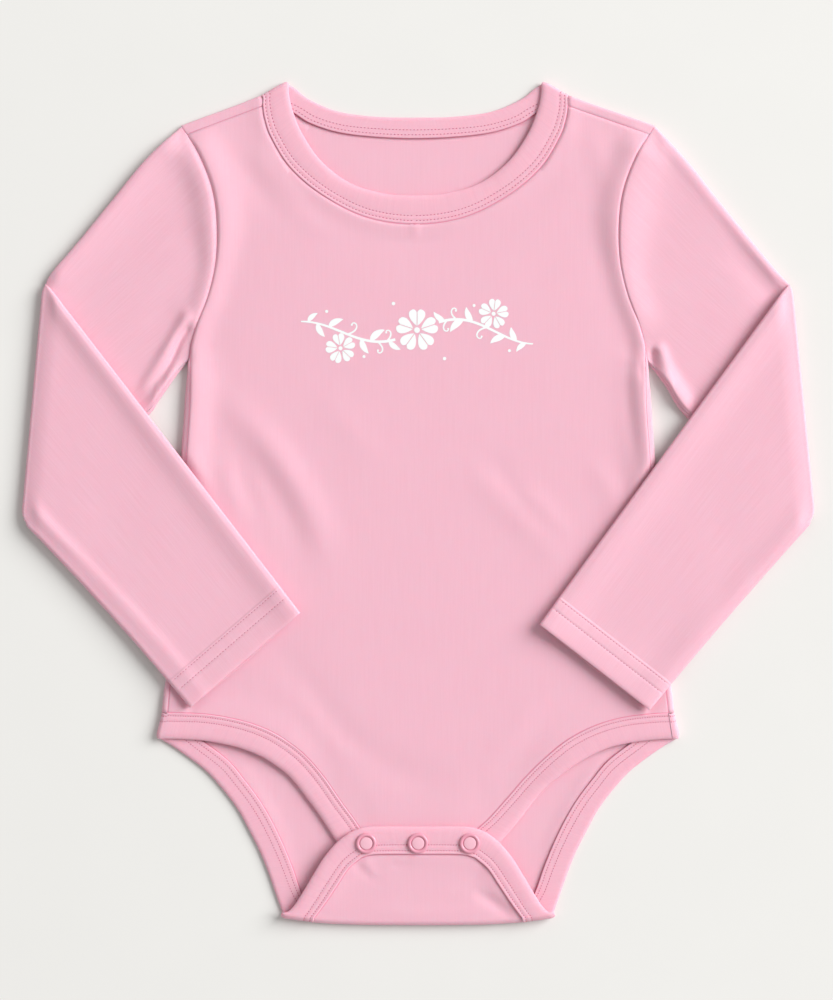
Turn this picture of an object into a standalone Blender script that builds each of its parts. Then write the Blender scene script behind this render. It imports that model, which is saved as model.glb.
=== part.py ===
"""A baby onesie laid flat, front up, as its maker cuts and sews it.

Long-sleeved jersey bodysuit: front and back panels, set-in sleeves folded at the elbow so that the
forearms lie across the body, a bound crew neck, bound leg openings, and a crotch flap that folds up
over the front and closes with three ring snaps.

Sizes are millimetres and become metres where a mesh is filled. X runs across the body, Y from the
crotch up to the neck, Z up from the surface the garment lies on. The origin is under the middle of
the garment's outline. "out" is a distance from the centre line, so one table serves both sides.
"""
import math
from collections import namedtuple

import bmesh
import bpy
import numpy as np

# ---------------------------------------------------------------- driving dimensions, in millimetres
MM = 0.001
CLOTH = 1.0                 # wall of one layer of jersey
SEAM_GAP = 0.3              # what is sewn together stays this far apart
LAYER_STEP = 2.3            # from the middle of the back layer up to the middle of the front layer
BINDING = 2.2               # thickness of the folded binding
BINDING_STEP = 2.5          # from the back binding's middle up to the front binding's, where they cross
FLAP_STEP = 4.9             # from the back layer up to the flap that is folded over the front
FOREARM_CLEAR = 0.3         # between the top of the upper sleeve and the underside of the forearm
PUFF = 0.9                  # how far the front swells above its edges
SLEEVE_PUFF = 0.8           # the same on a sleeve
FOREARM_SAG = 2.0           # how far a forearm sinks where nothing lies under it
SNAP_CAP = 10.4             # outer diameter of a ring snap
SNAP_SOCKET = 9.0
SNAP_SPREAD = 26.3          # from the middle snap to the outer ones
SNAP_UP = -172.2            # height of the row of snaps along the body
CAP_THICKNESS = 1.3
SOCKET_THICKNESS = 0.8
TAB_BINDING_MID = 2.4       # middle height of the front leg binding where it has sunk under the flap
SHOULDER_LIP = 4.0          # how far along the armhole the back panel comes forward over the shoulder
UNDERARM_LIP = 6.0          # and under the arm
RISE_AT_LEG = 32.0          # over what distance the front swells up from its leg edges
RISE_AT_NECK = 36.0         # from its neck and shoulder seams
RISE_AT_SIDE = 26.0         # and from its sides
NECK_DIP = 0.6              # how much lower the neck binding lies in front than at the shoulders
NECK_DIP_FROM = 56.0        # where it starts to sink, from the centre line
NECK_DIP_OVER = 20.0
TAB_DIP_FROM = 95.0         # where the front leg binding starts to sink towards the tab
TAB_DIP_OVER = 50.0
UPPER_SLEEVE_RISE = 24.0    # over what distance the upper sleeve swells, away from the forearm on it
SIDE_CLIMB = 0.25           # extra height of a forearm where it crosses the body's side fold
SIDE_CLIMB_REACH = 14.0
BODY_REACH = 10.0           # how far beside the body a forearm still follows the front's height
SAG_FROM_BODY = 5.0         # how far from the body and the upper sleeve a forearm starts to sink
SAG_FROM_SLEEVE = 11.0
SAG_OVER = 22.0
FOLD_TIP = 0.06             # share of a fold's length over which its ends stay faint
FOLD_FADE = 0.6             # how abruptly it rises after that: lower is more abrupt
WELD = 0.02                 # points closer than this are one point

BACK_MID = CLOTH / 2
FRONT_MID = BACK_MID + LAYER_STEP
BACK_BINDING_MID = BINDING / 2
FRONT_BINDING_MID = BACK_BINDING_MID + BINDING_STEP
FLAP_MID = BACK_MID + FLAP_STEP
FLAP_BINDING_MID = BACK_BINDING_MID + FLAP_STEP
FOREARM_MID = FRONT_MID + CLOTH + FOREARM_CLEAR
TAB_BINDING_TOP = TAB_BINDING_MID + BINDING / 2

# How finely each stretch is divided.
SHOULDER_PARTS = 5
NECK_PARTS = 5              # half of the neck's lowest stretch
LEG_PARTS = 11
SIDE_PARTS = 9
ARMHOLE_PARTS = 10          # the first and last lie on the back panel's lips
YOKE = 5                    # armhole station that is level with the foot of the neck's steep stretch
FLAP_SIDE_PARTS = 6
TURN_PARTS = 4              # half a turn round an edge
ELBOW_PARTS = 6
UPPER_SLEEVE_PARTS = 6
FOREARM_PARTS = 9
PANEL_PARTS = 2 * (SHOULDER_PARTS + NECK_PARTS)
ROUND_PARTS = 16            # round a snap
FOLD_STEPS = 12
CURVE_STEPS = 12            # between two spots of a table

PINK = (0.89, 0.50, 0.59)
PINK_BINDING = (0.87, 0.47, 0.57)
PINK_PLASTIC = (0.86, 0.45, 0.56)
JERSEY_ROUGHNESS = 0.9
PLASTIC_ROUGHNESS = 0.35

# ---------------------------------------------------------------- outlines and seams
Spot = namedtuple("Spot", "out up")

# Armhole seam from the shoulder fold, past the shoulder seam, to the notch under the arm.
ARMHOLE = (
    Spot(119.9, 191.4), Spot(111.2, 177.5), Spot(104.5, 160.0), Spot(102.2, 142.5),
    Spot(102.8, 124.0), Spot(106.5, 107.0), Spot(112.0, 92.5), Spot(115.0, 82.0), Spot(116.4, 73.5),
)
BODY_NOTCH = (0.3, -0.95)           # the way the body's edge points out at the notch under the arm
BELOW_NOTCH = (0.9, -0.4)           # and at the next station down
SLEEVE_NOTCH = (0.15, -0.99)        # and the sleeve's, which leaves it at an angle
NOTCH_CLEAR = (1.1, 0.6)            # how far the sleeve's turned edge stands off the body's at the notch

# Side edge of the body as it lies, from under the arm to the leg binding.
SIDE_EDGE = (
    Spot(118.2, 70.0), Spot(118.7, 53.0), Spot(120.6, 25.0), Spot(123.6, -20.0),
    Spot(127.0, -65.0), Spot(129.6, -95.0), Spot(130.5, -106.3),
)
# Neck seam on the front, from the shoulder fold to the centre.
NECK_CENTRE = -1.5
NECK_FRONT_SEAM = (
    Spot(77.5, 206.5), Spot(77.6, 202.6), Spot(76.6, 196.0), Spot(73.3, 186.5),
    Spot(63.5, 171.0), Spot(47.0, 157.0), Spot(25.0, 146.0), Spot(0.0, 142.4),
)
NECK_FRONT_EDGE = (
    Spot(64.0, 212.6), Spot(63.9, 207.5), Spot(61.9, 199.5), Spot(57.0, 188.0),
    Spot(47.5, 174.5), Spot(33.0, 163.5), Spot(15.5, 158.2), Spot(0.0, 157.2),
)
NECK_BACK_SEAM = (
    Spot(77.5, 206.5), Spot(70.0, 203.3), Spot(62.0, 199.3), Spot(53.5, 194.0),
    Spot(39.0, 189.3), Spot(20.5, 187.0), Spot(0.0, 186.2),
)
NECK_FRONT_CORNER = 4       # the front seam's spot, after the shoulder seam, where its steep stretch ends
NECK_BACK_CORNER = 3
NECK_BACK_EDGE = (
    Spot(64.0, 212.6), Spot(60.5, 210.7), Spot(53.5, 206.0), Spot(39.0, 200.0),
    Spot(20.0, 197.4), Spot(0.0, 197.0),
)
SHOULDER_SEAM = (Spot(117.5, 188.4), Spot(97.8, 195.6), Spot(77.6, 202.6))
# Front leg opening, from the side to the end of the crotch tab.
LEG_FRONT_SEAM = (
    Spot(126.5, -106.3), Spot(118.0, -106.8), Spot(104.0, -108.6), Spot(90.5, -112.5),
    Spot(77.0, -119.2), Spot(65.5, -128.2), Spot(55.0, -138.5), Spot(45.0, -150.0),
    Spot(36.0, -160.0), Spot(29.5, -166.0), Spot(24.0, -173.0), Spot(20.5, -180.0),
)
LEG_FRONT_EDGE = (
    Spot(129.4, -119.6), Spot(121.0, -120.0), Spot(108.0, -121.6), Spot(95.5, -124.8),
    Spot(83.0, -131.0), Spot(71.0, -139.5), Spot(61.0, -149.0), Spot(52.5, -160.0),
    Spot(44.5, -169.5), Spot(38.5, -177.0), Spot(34.5, -183.0),
)
# Back leg opening, from the side fold to the crotch fold.
LEG_BACK_SEAM = (
    Spot(128.2, -106.6), Spot(120.0, -113.0), Spot(110.0, -120.5), Spot(97.0, -130.5),
    Spot(88.5, -140.5), Spot(81.0, -150.5), Spot(74.5, -161.5), Spot(68.6, -173.8),
    Spot(63.7, -186.0), Spot(59.4, -198.5), Spot(55.5, -210.6),
)
LEG_BACK_EDGE = (
    Spot(131.3, -119.8), Spot(122.2, -125.5), Spot(108.6, -135.7), Spot(99.2, -146.0),
    Spot(91.8, -156.0), Spot(86.2, -166.3), Spot(81.0, -176.5), Spot(76.8, -186.7),
    Spot(73.2, -197.0), Spot(69.4, -207.6),
)
# The flap, from the crotch fold up to its top.
FLAP_SEAM = (
    Spot(55.5, -210.6), Spot(47.2, -203.0), Spot(40.8, -193.8), Spot(34.3, -185.3), Spot(28.5, -180.4),
)
FLAP_TOP_SEAM = (Spot(28.5, -180.4), Spot(21.5, -179.0), Spot(0.0, -179.0))
FLAP_EDGE = (
    Spot(69.4, -207.6), Spot(61.2, -199.5), Spot(53.5, -189.5), Spot(47.0, -180.0),
    Spot(41.0, -172.5), Spot(35.0, -167.5),
)
FLAP_TOP_EDGE = (Spot(35.0, -167.5), Spot(27.5, -164.8), Spot(17.0, -164.2), Spot(0.0, -164.2))
TAB_END = -180.0
CROTCH_FOLD_SAG = 0.8       # how much lower the middle of the crotch fold lies than its ends
CROTCH_LEAN = 0.26          # how much the fold turns outward at its ends, against 1 downward
SIDE_HOLD = 2.2             # how closely a panel's rows keep to its side lines: higher keeps the middle even
SLEEVE_EASE = 4.0           # a sleeve swells to its full height over this share of its length, inverted

# Line that the upper sleeve's cloth turns over under the arm, which goes on under the forearm.
UNDERARM_EDGE = (
    Spot(116.4, 73.5), Spot(124.6, 63.0), Spot(132.2, 52.0), Spot(140.2, 43.8), Spot(167.0, 21.5),
    Spot(199.0, -1.0),
)

# Where the side seam lies inside the body's edge, under the arm and at the leg.
SIDE_SEAM_UNDER_ARM = 2.9
SIDE_SEAM_AT_LEG = 4.0

# A sleeve as it lies: the fold at the elbow and the cuff's two corners.
Sleeve = namedtuple("Sleeve", "name side fold_top fold_bottom cuff_inner cuff_outer")
SLEEVES = (
    Sleeve("sleeve_left", -1, Spot(191.0, 111.7), Spot(201.1, -4.1), Spot(59.8, -55.1), Spot(115.8, -103.4)),
    Sleeve("sleeve_right", 1, Spot(190.4, 111.4), Spot(201.1, -2.0), Spot(61.6, -61.0), Spot(117.8, -104.6)),
)

# Largest folds of the front, along a curve from start past bend to end. A trough has a negative height.
Fold = namedtuple("Fold", "start bend end width height")
FRONT_FOLDS = (
    Fold((-99, 62), (-55, 25), (-36, -40), 7.0, 1.3),
    Fold((-96, 44), (-62, 8), (-46, -42), 6.0, -1.0),
    Fold((-74, -70), (-45, -118), (24, -146), 9.0, -0.8),
    Fold((-66, -94), (-44, -126), (-14, -139), 7.0, 0.7),
    Fold((24, 20), (52, 4), (72, -34), 8.0, 0.6),
    Fold((44, 14), (66, 2), (82, -22), 6.0, 0.5),
    Fold((92, 96), (104, 50), (108, 10), 9.0, 0.7),
)
UP = np.array([0.0, 0.0, 1.0])

# Section of a folded binding: the end a corner belongs to, how far it is inside that end, and how many
# half thicknesses up.
Corner = namedtuple("Corner", "end inset lift")
BINDING_SECTION = (
    Corner("seam", 0.0, -0.85), Corner("seam", 0.0, 0.85), Corner("seam", 0.6, 1.0),
    Corner("edge", 1.0, 1.0), Corner("edge", 0.0, 0.35), Corner("edge", 0.0, -0.35),
    Corner("edge", 1.0, -1.0), Corner("seam", 0.6, -1.0),
)

# Half sections of the snaps, from the axis on top, round the rim, to the axis below.
Turned = namedtuple("Turned", "radius height")
CAP_PROFILE = (
    Turned(0.0, 0.8), Turned(3.0, 0.75), Turned(3.4, 0.55), Turned(4.2, CAP_THICKNESS),
    Turned(SNAP_CAP / 2, 0.45), Turned(SNAP_CAP / 2, 0.0), Turned(0.0, 0.0),
)
SOCKET_PROFILE = (
    Turned(0.0, SOCKET_THICKNESS), Turned(SNAP_SOCKET / 2, SOCKET_THICKNESS), Turned(SNAP_SOCKET / 2, 0.0),
    Turned(0.0, 0.0),
)


# ---------------------------------------------------------------- curves and surfaces
def ease(t):
    """Zero below 0, one above 1, and smooth between them."""
    t = min(max(t, 0.0), 1.0)
    return t * t * (3.0 - 2.0 * t)


def smooth_line(spots):
    """A dense smooth line through the spots, as an array of x, y rows."""
    known = np.array([(spot[0], spot[1]) for spot in spots], dtype=float)
    padded = np.vstack([2 * known[0] - known[1], known, 2 * known[-1] - known[-2]])
    rows = []
    for before, start, end, after in zip(padded, padded[1:], padded[2:], padded[3:]):
        for t in np.linspace(0.0, 1.0, CURVE_STEPS, endpoint=False):
            rows.append(0.5 * (2 * start + (end - before) * t
                               + (2 * before - 5 * start + 4 * end - after) * t ** 2
                               + (3 * start - before - 3 * end + after) * t ** 3))
    rows.append(known[-1])
    return np.array(rows)


def travelled(line):
    """Distance along a line at each of its points."""
    steps = np.linalg.norm(np.diff(line, axis=0), axis=1)
    return np.concatenate([[0.0], np.cumsum(steps)])


def at_shares(spots, shares):
    """Points at these shares of the length of the smooth line through the spots."""
    line = smooth_line(spots)
    distance = travelled(line)
    wanted = np.array(shares) * distance[-1]
    return np.column_stack([np.interp(wanted, distance, line[:, 0]), np.interp(wanted, distance, line[:, 1])])


def divided(spots, parts):
    """Points that divide the smooth line through the spots into equal parts."""
    return at_shares(spots, np.linspace(0.0, 1.0, parts + 1))


def divided_at(spots, corner, parts_before, parts_after):
    """Points that divide the smooth line evenly before and after one of its spots."""
    distance = travelled(smooth_line(spots))
    share = distance[CURVE_STEPS * corner] / distance[-1]
    before = np.linspace(0.0, share, parts_before + 1)
    after = np.linspace(share, 1.0, parts_after + 1)
    return at_shares(spots, np.concatenate([before, after[1:]]))


def shares_of(line):
    """Share of its length that each point of a line has reached."""
    distance = travelled(line)
    return distance / distance[-1]


def moved_aside(line, distance):
    """The line moved to its left by a distance, seen from above."""
    ahead = np.gradient(line, axis=0)
    ahead /= np.linalg.norm(ahead, axis=1)[:, None]
    return line + distance * np.column_stack([-ahead[:, 1], ahead[:, 0]])


def on_side(line, side, centre=0.0):
    """The line on the +X side (side 1) or mirrored to the -X side (side -1)."""
    return np.column_stack([centre + side * line[:, 0], line[:, 1]])


def patch(left, right, bottom, top):
    """Rows of plan points that fill the space between four lines, as a stretched sheet would.

    The rows follow the side lines closely near the edges and run evenly through the middle.
    """
    rows = []
    for row in range(len(left)):
        v = row / (len(left) - 1)
        points = []
        for column in range(len(bottom)):
            u = column / (len(bottom) - 1)
            base = (1 - v) * bottom[column] + v * top[column]
            off_left = left[row] - ((1 - v) * bottom[0] + v * top[0])
            off_right = right[row] - ((1 - v) * bottom[-1] + v * top[-1])
            x = base[0] + (1 - u) * off_left[0] + u * off_right[0]
            y = base[1] + (1 - u) ** SIDE_HOLD * off_left[1] + u ** SIDE_HOLD * off_right[1]
            points.append((x, y))
        rows.append(points)
    return np.array(rows)


def raised(plan, height):
    """Plan points lifted to a height, a number or a function of x and y."""
    lift = height if callable(height) else (lambda x, y: height)
    flat = np.asarray(plan, dtype=float)
    heights = np.array([lift(x, y) for x, y in flat.reshape(-1, 2)]).reshape(flat.shape[:-1])
    return np.concatenate([flat, heights[..., None]], axis=-1)


def half_turn(spot, direction, start_height, end_height, turned):
    """Point of a half turn round a spot, from the start height to the end height; turned runs 0 to 1."""
    middle = (start_height + end_height) / 2
    radius = abs(end_height - start_height) / 2
    reach = radius * math.sin(math.pi * turned)
    height = middle + (start_height - middle) * math.cos(math.pi * turned)
    return np.array([spot[0] + reach * direction[0], spot[1] + reach * direction[1], height])


def unit(vector):
    """The vector at length 1."""
    vector = np.asarray(vector, dtype=float)
    return vector / np.linalg.norm(vector)


# ---------------------------------------------------------------- height of the front layer
def falling(spots):
    """Out and up columns of a table, ordered by out for interpolation."""
    ordered = sorted(spots)
    return [spot.out for spot in ordered], [spot.up for spot in ordered]


def rising(spots):
    """Up and out columns of a table, ordered by up for interpolation."""
    ordered = sorted(spots, key=lambda spot: spot.up)
    return [spot.up for spot in ordered], [spot.out for spot in ordered]


LEG_LINE = falling(LEG_FRONT_SEAM)
NECK_LINE = falling(NECK_FRONT_SEAM[2:] + SHOULDER_SEAM)
BODY_EDGE = rising(SIDE_EDGE + ARMHOLE)
UNDERARM_LINE = falling(UNDERARM_EDGE)


def curve_of(fold):
    """Points along a fold's curve."""
    start, bend, end = (np.array(spot, dtype=float) for spot in (fold.start, fold.bend, fold.end))
    steps = np.linspace(0.0, 1.0, FOLD_STEPS + 1)
    return np.array([(1 - t) ** 2 * start + 2 * t * (1 - t) * bend + t ** 2 * end for t in steps])


FOLD_CURVES = tuple((fold, curve_of(fold)) for fold in FRONT_FOLDS)


def fold_height(x, y):
    """What the folds add to the front at a point."""
    total = 0.0
    for fold, line in FOLD_CURVES:
        away = np.hypot(line[:, 0] - x, line[:, 1] - y)
        nearest = int(np.argmin(away))
        along = min(max(nearest / FOLD_STEPS, FOLD_TIP), 1.0 - FOLD_TIP)
        fade = math.sin(math.pi * along) ** FOLD_FADE
        total += fold.height * fade * math.exp(-(away[nearest] / fold.width) ** 2)
    return total


def front_height(x, y):
    """Middle height of the front layer at a point of the plan."""
    out = abs(x)
    over_leg = ease((y - np.interp(out, *LEG_LINE)) / RISE_AT_LEG)
    under_neck = ease((np.interp(abs(x - NECK_CENTRE), *NECK_LINE) - y) / RISE_AT_NECK)
    inside = ease((np.interp(y, *BODY_EDGE) - out) / RISE_AT_SIDE)
    swell = over_leg * under_neck * inside
    return FRONT_MID + swell * (PUFF + fold_height(x, y))


# ---------------------------------------------------------------- objects
def material_of(name, colour, roughness):
    """A plain Principled material."""
    material = bpy.data.materials.new(name)
    material.use_nodes = True
    shader = material.node_tree.nodes["Principled BSDF"]
    shader.inputs["Base Color"].default_value = (*colour, 1.0)
    shader.inputs["Roughness"].default_value = roughness
    shader.inputs["Metallic"].default_value = 0.0
    return material


def add_object(name, mesh_maker, colour, roughness):
    """Link a mesh to the scene as a named object with its own material."""
    mesh = bpy.data.meshes.new(name)
    mesh_maker.to_mesh(mesh)
    mesh_maker.free()
    mesh.materials.append(material_of(name, colour, roughness))
    piece = bpy.data.objects.new(name, mesh)
    bpy.context.scene.collection.objects.link(piece)
    return piece


def add_sheet(mesh_maker, rows):
    """A grid whose vertices are moved to these rows of points in space."""
    rows = np.asarray(rows, dtype=float)
    parts_up, parts_across = rows.shape[0] - 1, rows.shape[1] - 1
    grid = bmesh.ops.create_grid(mesh_maker, x_segments=parts_across, y_segments=parts_up, size=1.0)
    for vertex, point in zip(grid["verts"], rows.reshape(-1, 3)):
        vertex.co = point * MM


def cloth_piece(name, sheets, colour=PINK):
    """One cut piece of jersey: sheets of its middle surface joined where they meet, then given their wall."""
    mesh_maker = bmesh.new()
    for rows in sheets:
        add_sheet(mesh_maker, rows)
    bmesh.ops.remove_doubles(mesh_maker, verts=mesh_maker.verts, dist=WELD * MM)
    bmesh.ops.recalc_face_normals(mesh_maker, faces=mesh_maker.faces)
    piece = add_object(name, mesh_maker, colour, JERSEY_ROUGHNESS)
    wall = piece.modifiers.new("wall", "SOLIDIFY")
    wall.thickness = CLOTH * MM
    wall.offset = 0.0
    piece.data.shade_smooth()
    return piece


Station = namedtuple("Station", "seam edge outside")


def binding_section(station):
    """Eight points round a binding: square at its seam, rounded at its folded edge."""
    across = station.edge - station.seam
    width = np.linalg.norm(across)
    across = across / width
    points = []
    for corner in BINDING_SECTION:
        along = corner.inset if corner.end == "seam" else width - corner.inset
        points.append(station.seam + across * along + station.outside * BINDING / 2 * corner.lift)
    return points


def binding_piece(name, stations, closed):
    """A folded strip swept along its stations, joined end to end or capped at both ends."""
    mesh_maker = bmesh.new()
    rings = []
    for station in stations:
        rings.append([mesh_maker.verts.new(point * MM) for point in binding_section(station)])
    pairs = list(zip(rings, rings[1:]))
    if closed:
        pairs.append((rings[-1], rings[0]))
    else:
        mesh_maker.faces.new(rings[0])
        mesh_maker.faces.new(rings[-1])
    for ring, following in pairs:
        for corner in range(len(ring)):
            after = (corner + 1) % len(ring)
            mesh_maker.faces.new((ring[corner], ring[after], following[after], following[corner]))
    bmesh.ops.recalc_face_normals(mesh_maker, faces=mesh_maker.faces)
    piece = add_object(name, mesh_maker, PINK_BINDING, JERSEY_ROUGHNESS)
    piece.data.shade_smooth()
    return piece


def flat_stations(seam, edge, seam_heights, outside):
    """Stations along two plan lines that lie at the given heights."""
    return [
        Station(np.array([*inner, height]), np.array([*outer, height]), np.asarray(outside, dtype=float))
        for inner, outer, height in zip(seam, edge, seam_heights)
    ]


def turned_stations(seam_spot, edge_spot, direction, start_height, end_height):
    """Stations of a strip that turns over an edge, without its two flat ends.

    direction points out over the edge, and the strip's outside faces down at the start and up at the end
    when it climbs from the back to the front.
    """
    stations = []
    for step in range(1, TURN_PARTS):
        turned = step / TURN_PARTS
        seam = half_turn(seam_spot, direction, start_height, end_height, turned)
        edge = half_turn(edge_spot, direction, start_height, end_height, turned)
        swing = math.pi * turned if end_height > start_height else math.pi * (1 - turned)
        outside = np.array([direction[0] * math.sin(swing), direction[1] * math.sin(swing), -math.cos(swing)])
        stations.append(Station(seam, edge, outside))
    return stations


def outward_of(inner, outer, side):
    """Direction square to a fold line in plan, pointing away from the body on the given side."""
    along = unit(np.asarray(outer) - np.asarray(inner))
    direction = np.array([along[1], -along[0]])
    return direction if direction[0] * side >= 0 else -direction


# ---------------------------------------------------------------- seams that neighbours share
def side_axis(side):
    """Line that the cloth turns over at the side of the body, from under the arm to the leg."""
    radius = LAYER_STEP / 2 + CLOTH / 2
    edge = divided(SIDE_EDGE, SIDE_PARTS)
    axis = edge - np.array([radius, 0.0])
    axis[0] = (ARMHOLE[-1].out, ARMHOLE[-1].up)
    return on_side(axis, side)


def side_seam(side):
    """Where the front panel ends at the side, from the armhole to the leg binding."""
    edge = divided(SIDE_EDGE, SIDE_PARTS)
    inset = np.linspace(SIDE_SEAM_UNDER_ARM, SIDE_SEAM_AT_LEG, SIDE_PARTS + 1)
    seam = edge - np.column_stack([inset, np.zeros(SIDE_PARTS + 1)])
    seam[0] = armhole(1)[-2]
    return on_side(seam, side)


def armhole(side):
    """Armhole seam stations from the shoulder fold to the notch under the arm."""
    whole = smooth_line(ARMHOLE)
    distance = travelled(whole)
    between = np.linspace(SHOULDER_LIP, distance[-1] - UNDERARM_LIP, ARMHOLE_PARTS - 1)
    marks = np.concatenate([[0.0], between, [distance[-1]]])
    line = np.column_stack([np.interp(marks, distance, whole[:, 0]), np.interp(marks, distance, whole[:, 1])])
    return on_side(line, side)


def shoulder_seam(side):
    """Front edge of the shoulder, from the armhole to the neck."""
    line = divided(SHOULDER_SEAM, SHOULDER_PARTS)
    line[0] = armhole(1)[1]
    return on_side(line, side)


def shoulder_axis(side):
    """Line that the cloth turns over on the shoulder, from the armhole to the neck."""
    start = armhole(1)[0]
    end = np.array([NECK_FRONT_SEAM[0].out, NECK_FRONT_SEAM[0].up])
    return on_side(np.linspace(start, end, SHOULDER_PARTS + 1), side)


def neck_front_seam(side):
    """Neck seam of the front panel, from the shoulder seam down its steep stretch and on to the centre."""
    spots = NECK_FRONT_SEAM[1:]
    return on_side(divided_at(spots, NECK_FRONT_CORNER, YOKE - 1, NECK_PARTS), side, NECK_CENTRE)


def neck_back_seam(side):
    """Neck seam of the back panel, from the shoulder fold down its steep stretch and on to the centre."""
    return on_side(divided_at(NECK_BACK_SEAM, NECK_BACK_CORNER, YOKE, NECK_PARTS), side, NECK_CENTRE)


def shoulder_to_neck(line):
    """A shoulder line whose neck end is moved with the neck, which sits off the centre line."""
    shift = np.linspace(0.0, NECK_CENTRE, len(line))
    return line + np.column_stack([shift, np.zeros(len(line))])


def crotch_axis():
    """Line that the back turns over at the crotch, from -X to +X."""
    end = LEG_BACK_SEAM[-1]
    across = np.linspace(-end.out, end.out, PANEL_PARTS + 1)
    return np.array([(x, end.up - CROTCH_FOLD_SAG * (1 - (x / end.out) ** 2)) for x in across])


def crotch_direction(x):
    """Outward direction of the crotch fold where it crosses x."""
    lean = CROTCH_LEAN * x / LEG_BACK_SEAM[-1].out
    return unit((lean, -1.0))


# ---------------------------------------------------------------- panels
def panel_plans(sides, bottom, armholes, shoulders, necks):
    """Plans of a panel's body block and of the two blocks that run up beside the neck to the shoulders.

    Args:
        sides: left and right side lines, from the bottom up to the yoke station of the armhole.
        bottom: the lowest line, from left to right.
        armholes: left and right armhole lines, from the yoke up to the shoulder.
        shoulders: left and right shoulder lines, from the armhole to the neck.
        necks: left and right neck seams, from the shoulder to the centre.
    """
    plans = []
    across = []
    for armhole_line, shoulder, neck in zip(armholes, shoulders, necks):
        steep = len(armhole_line) - 1
        corner = neck[steep]
        yoke = np.linspace(armhole_line[0], corner, SHOULDER_PARTS + 1)
        plans.append(patch(armhole_line, neck[:steep + 1][::-1], yoke, shoulder))
        across.append(np.vstack([yoke, neck[steep + 1:]]))
    top = np.vstack([across[0], across[1][::-1][1:]])
    plans.append(patch(sides[0], sides[1], bottom, top))
    return plans


def build_front_panel():
    """Front, from the end of the crotch tab up to the shoulder seams, neck and armholes."""
    sides = []
    for side in (-1, 1):
        leg = on_side(divided(LEG_FRONT_SEAM, LEG_PARTS), side)[::-1]
        seam = side_seam(side)[::-1]
        arm = armhole(side)[YOKE:-1][::-1]
        sides.append(np.vstack([leg, seam[1:], arm[1:]]))
    tab = LEG_FRONT_SEAM[-1].out
    bottom = np.array([(x, TAB_END) for x in np.linspace(-tab, tab, PANEL_PARTS + 1)])
    yoke_to_shoulder = [armhole(side)[1:YOKE + 1][::-1] for side in (-1, 1)]
    shoulders = [shoulder_to_neck(shoulder_seam(side)) for side in (-1, 1)]
    necks = [neck_front_seam(side) for side in (-1, 1)]
    plans = panel_plans(sides, bottom, yoke_to_shoulder, shoulders, necks)
    cloth_piece("front_panel", [raised(plan, front_height) for plan in plans])


def lip_row(spot, direction, seam_spot):
    """Points of the back panel that turn over an edge and come forward to a seam of the front."""
    turned = np.linspace(0.0, 1.0, TURN_PARTS + 1)
    points = [half_turn(spot, direction, BACK_MID, FRONT_MID, t) for t in turned]
    lip = seam_spot - SEAM_GAP * unit(seam_spot - spot)
    points.append(np.array([*lip, FRONT_MID]))
    return points


def side_wrap(side):
    """Rows of the back panel that turn over the side and come forward to the side seam."""
    axis = side_axis(side)
    seam = side_seam(side)
    rows = []
    for row, (spot, seam_spot) in enumerate(zip(axis, seam)):
        if row == 0:
            direction = unit((BODY_NOTCH[0] * side, BODY_NOTCH[1]))
        elif row == 1:
            direction = unit((BELOW_NOTCH[0] * side, BELOW_NOTCH[1]))
        else:
            ahead = axis[min(row + 1, SIDE_PARTS)] - axis[max(row - 1, 1)]
            direction = outward_of(spot, spot + ahead, side)
        rows.append(lip_row(spot, direction, seam_spot))
    return rows


def shoulder_wrap(side):
    """Rows of the back panel that turn over the shoulder and come forward to the shoulder seam."""
    axis = shoulder_to_neck(shoulder_axis(side))
    seam = shoulder_to_neck(shoulder_seam(side))
    arm = armhole(side)
    start_direction = unit(arm[0] - arm[1])
    neck_end = on_side(np.array([NECK_FRONT_SEAM[0], NECK_FRONT_EDGE[0]]), side, NECK_CENTRE)
    end_direction = outward_of(neck_end[0], neck_end[1], side)
    rows = []
    for column, (spot, seam_spot) in enumerate(zip(axis, seam)):
        share = column / SHOULDER_PARTS
        direction = unit((1 - share) * start_direction + share * end_direction)
        rows.append(lip_row(spot, direction, seam_spot))
    return rows


def flap_rows():
    """Rows of the flap from the crotch fold up to its top seam."""
    seam = divided(FLAP_SEAM, FLAP_SIDE_PARTS)
    half_top = divided(FLAP_TOP_SEAM, PANEL_PARTS // 2)
    top = np.vstack([on_side(half_top, -1), on_side(half_top, 1)[::-1][1:]])
    plan = patch(on_side(seam, -1), on_side(seam, 1), crotch_axis(), top)
    return raised(plan, FLAP_MID)


def build_back_panel():
    """Back, with its wraps over the shoulders and sides and the flap folded up over the front."""
    sides = []
    for side in (-1, 1):
        leg = on_side(divided(LEG_BACK_SEAM, LEG_PARTS), side)[::-1]
        axis = side_axis(side)[::-1]
        leg[-1] = axis[0]
        arm = armhole(side)[YOKE:][::-1]
        sides.append(np.vstack([leg, axis[1:], arm[1:]]))
    yoke_to_shoulder = [armhole(side)[:YOKE + 1][::-1] for side in (-1, 1)]
    shoulders = [shoulder_to_neck(shoulder_axis(side)) for side in (-1, 1)]
    necks = [neck_back_seam(side) for side in (-1, 1)]
    plans = panel_plans(sides, crotch_axis(), yoke_to_shoulder, shoulders, necks)
    flat = [raised(plan, BACK_MID) for plan in plans]
    turn = []
    for step in range(TURN_PARTS + 1):
        row = []
        for spot in crotch_axis():
            row.append(half_turn(spot, crotch_direction(spot[0]), BACK_MID, FLAP_MID, step / TURN_PARTS))
        turn.append(row)
    sheets = flat + [turn, flap_rows()]
    for side in (-1, 1):
        sheets.append(side_wrap(side))
        sheets.append(shoulder_wrap(side))
    cloth_piece("back_panel", sheets)


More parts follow.
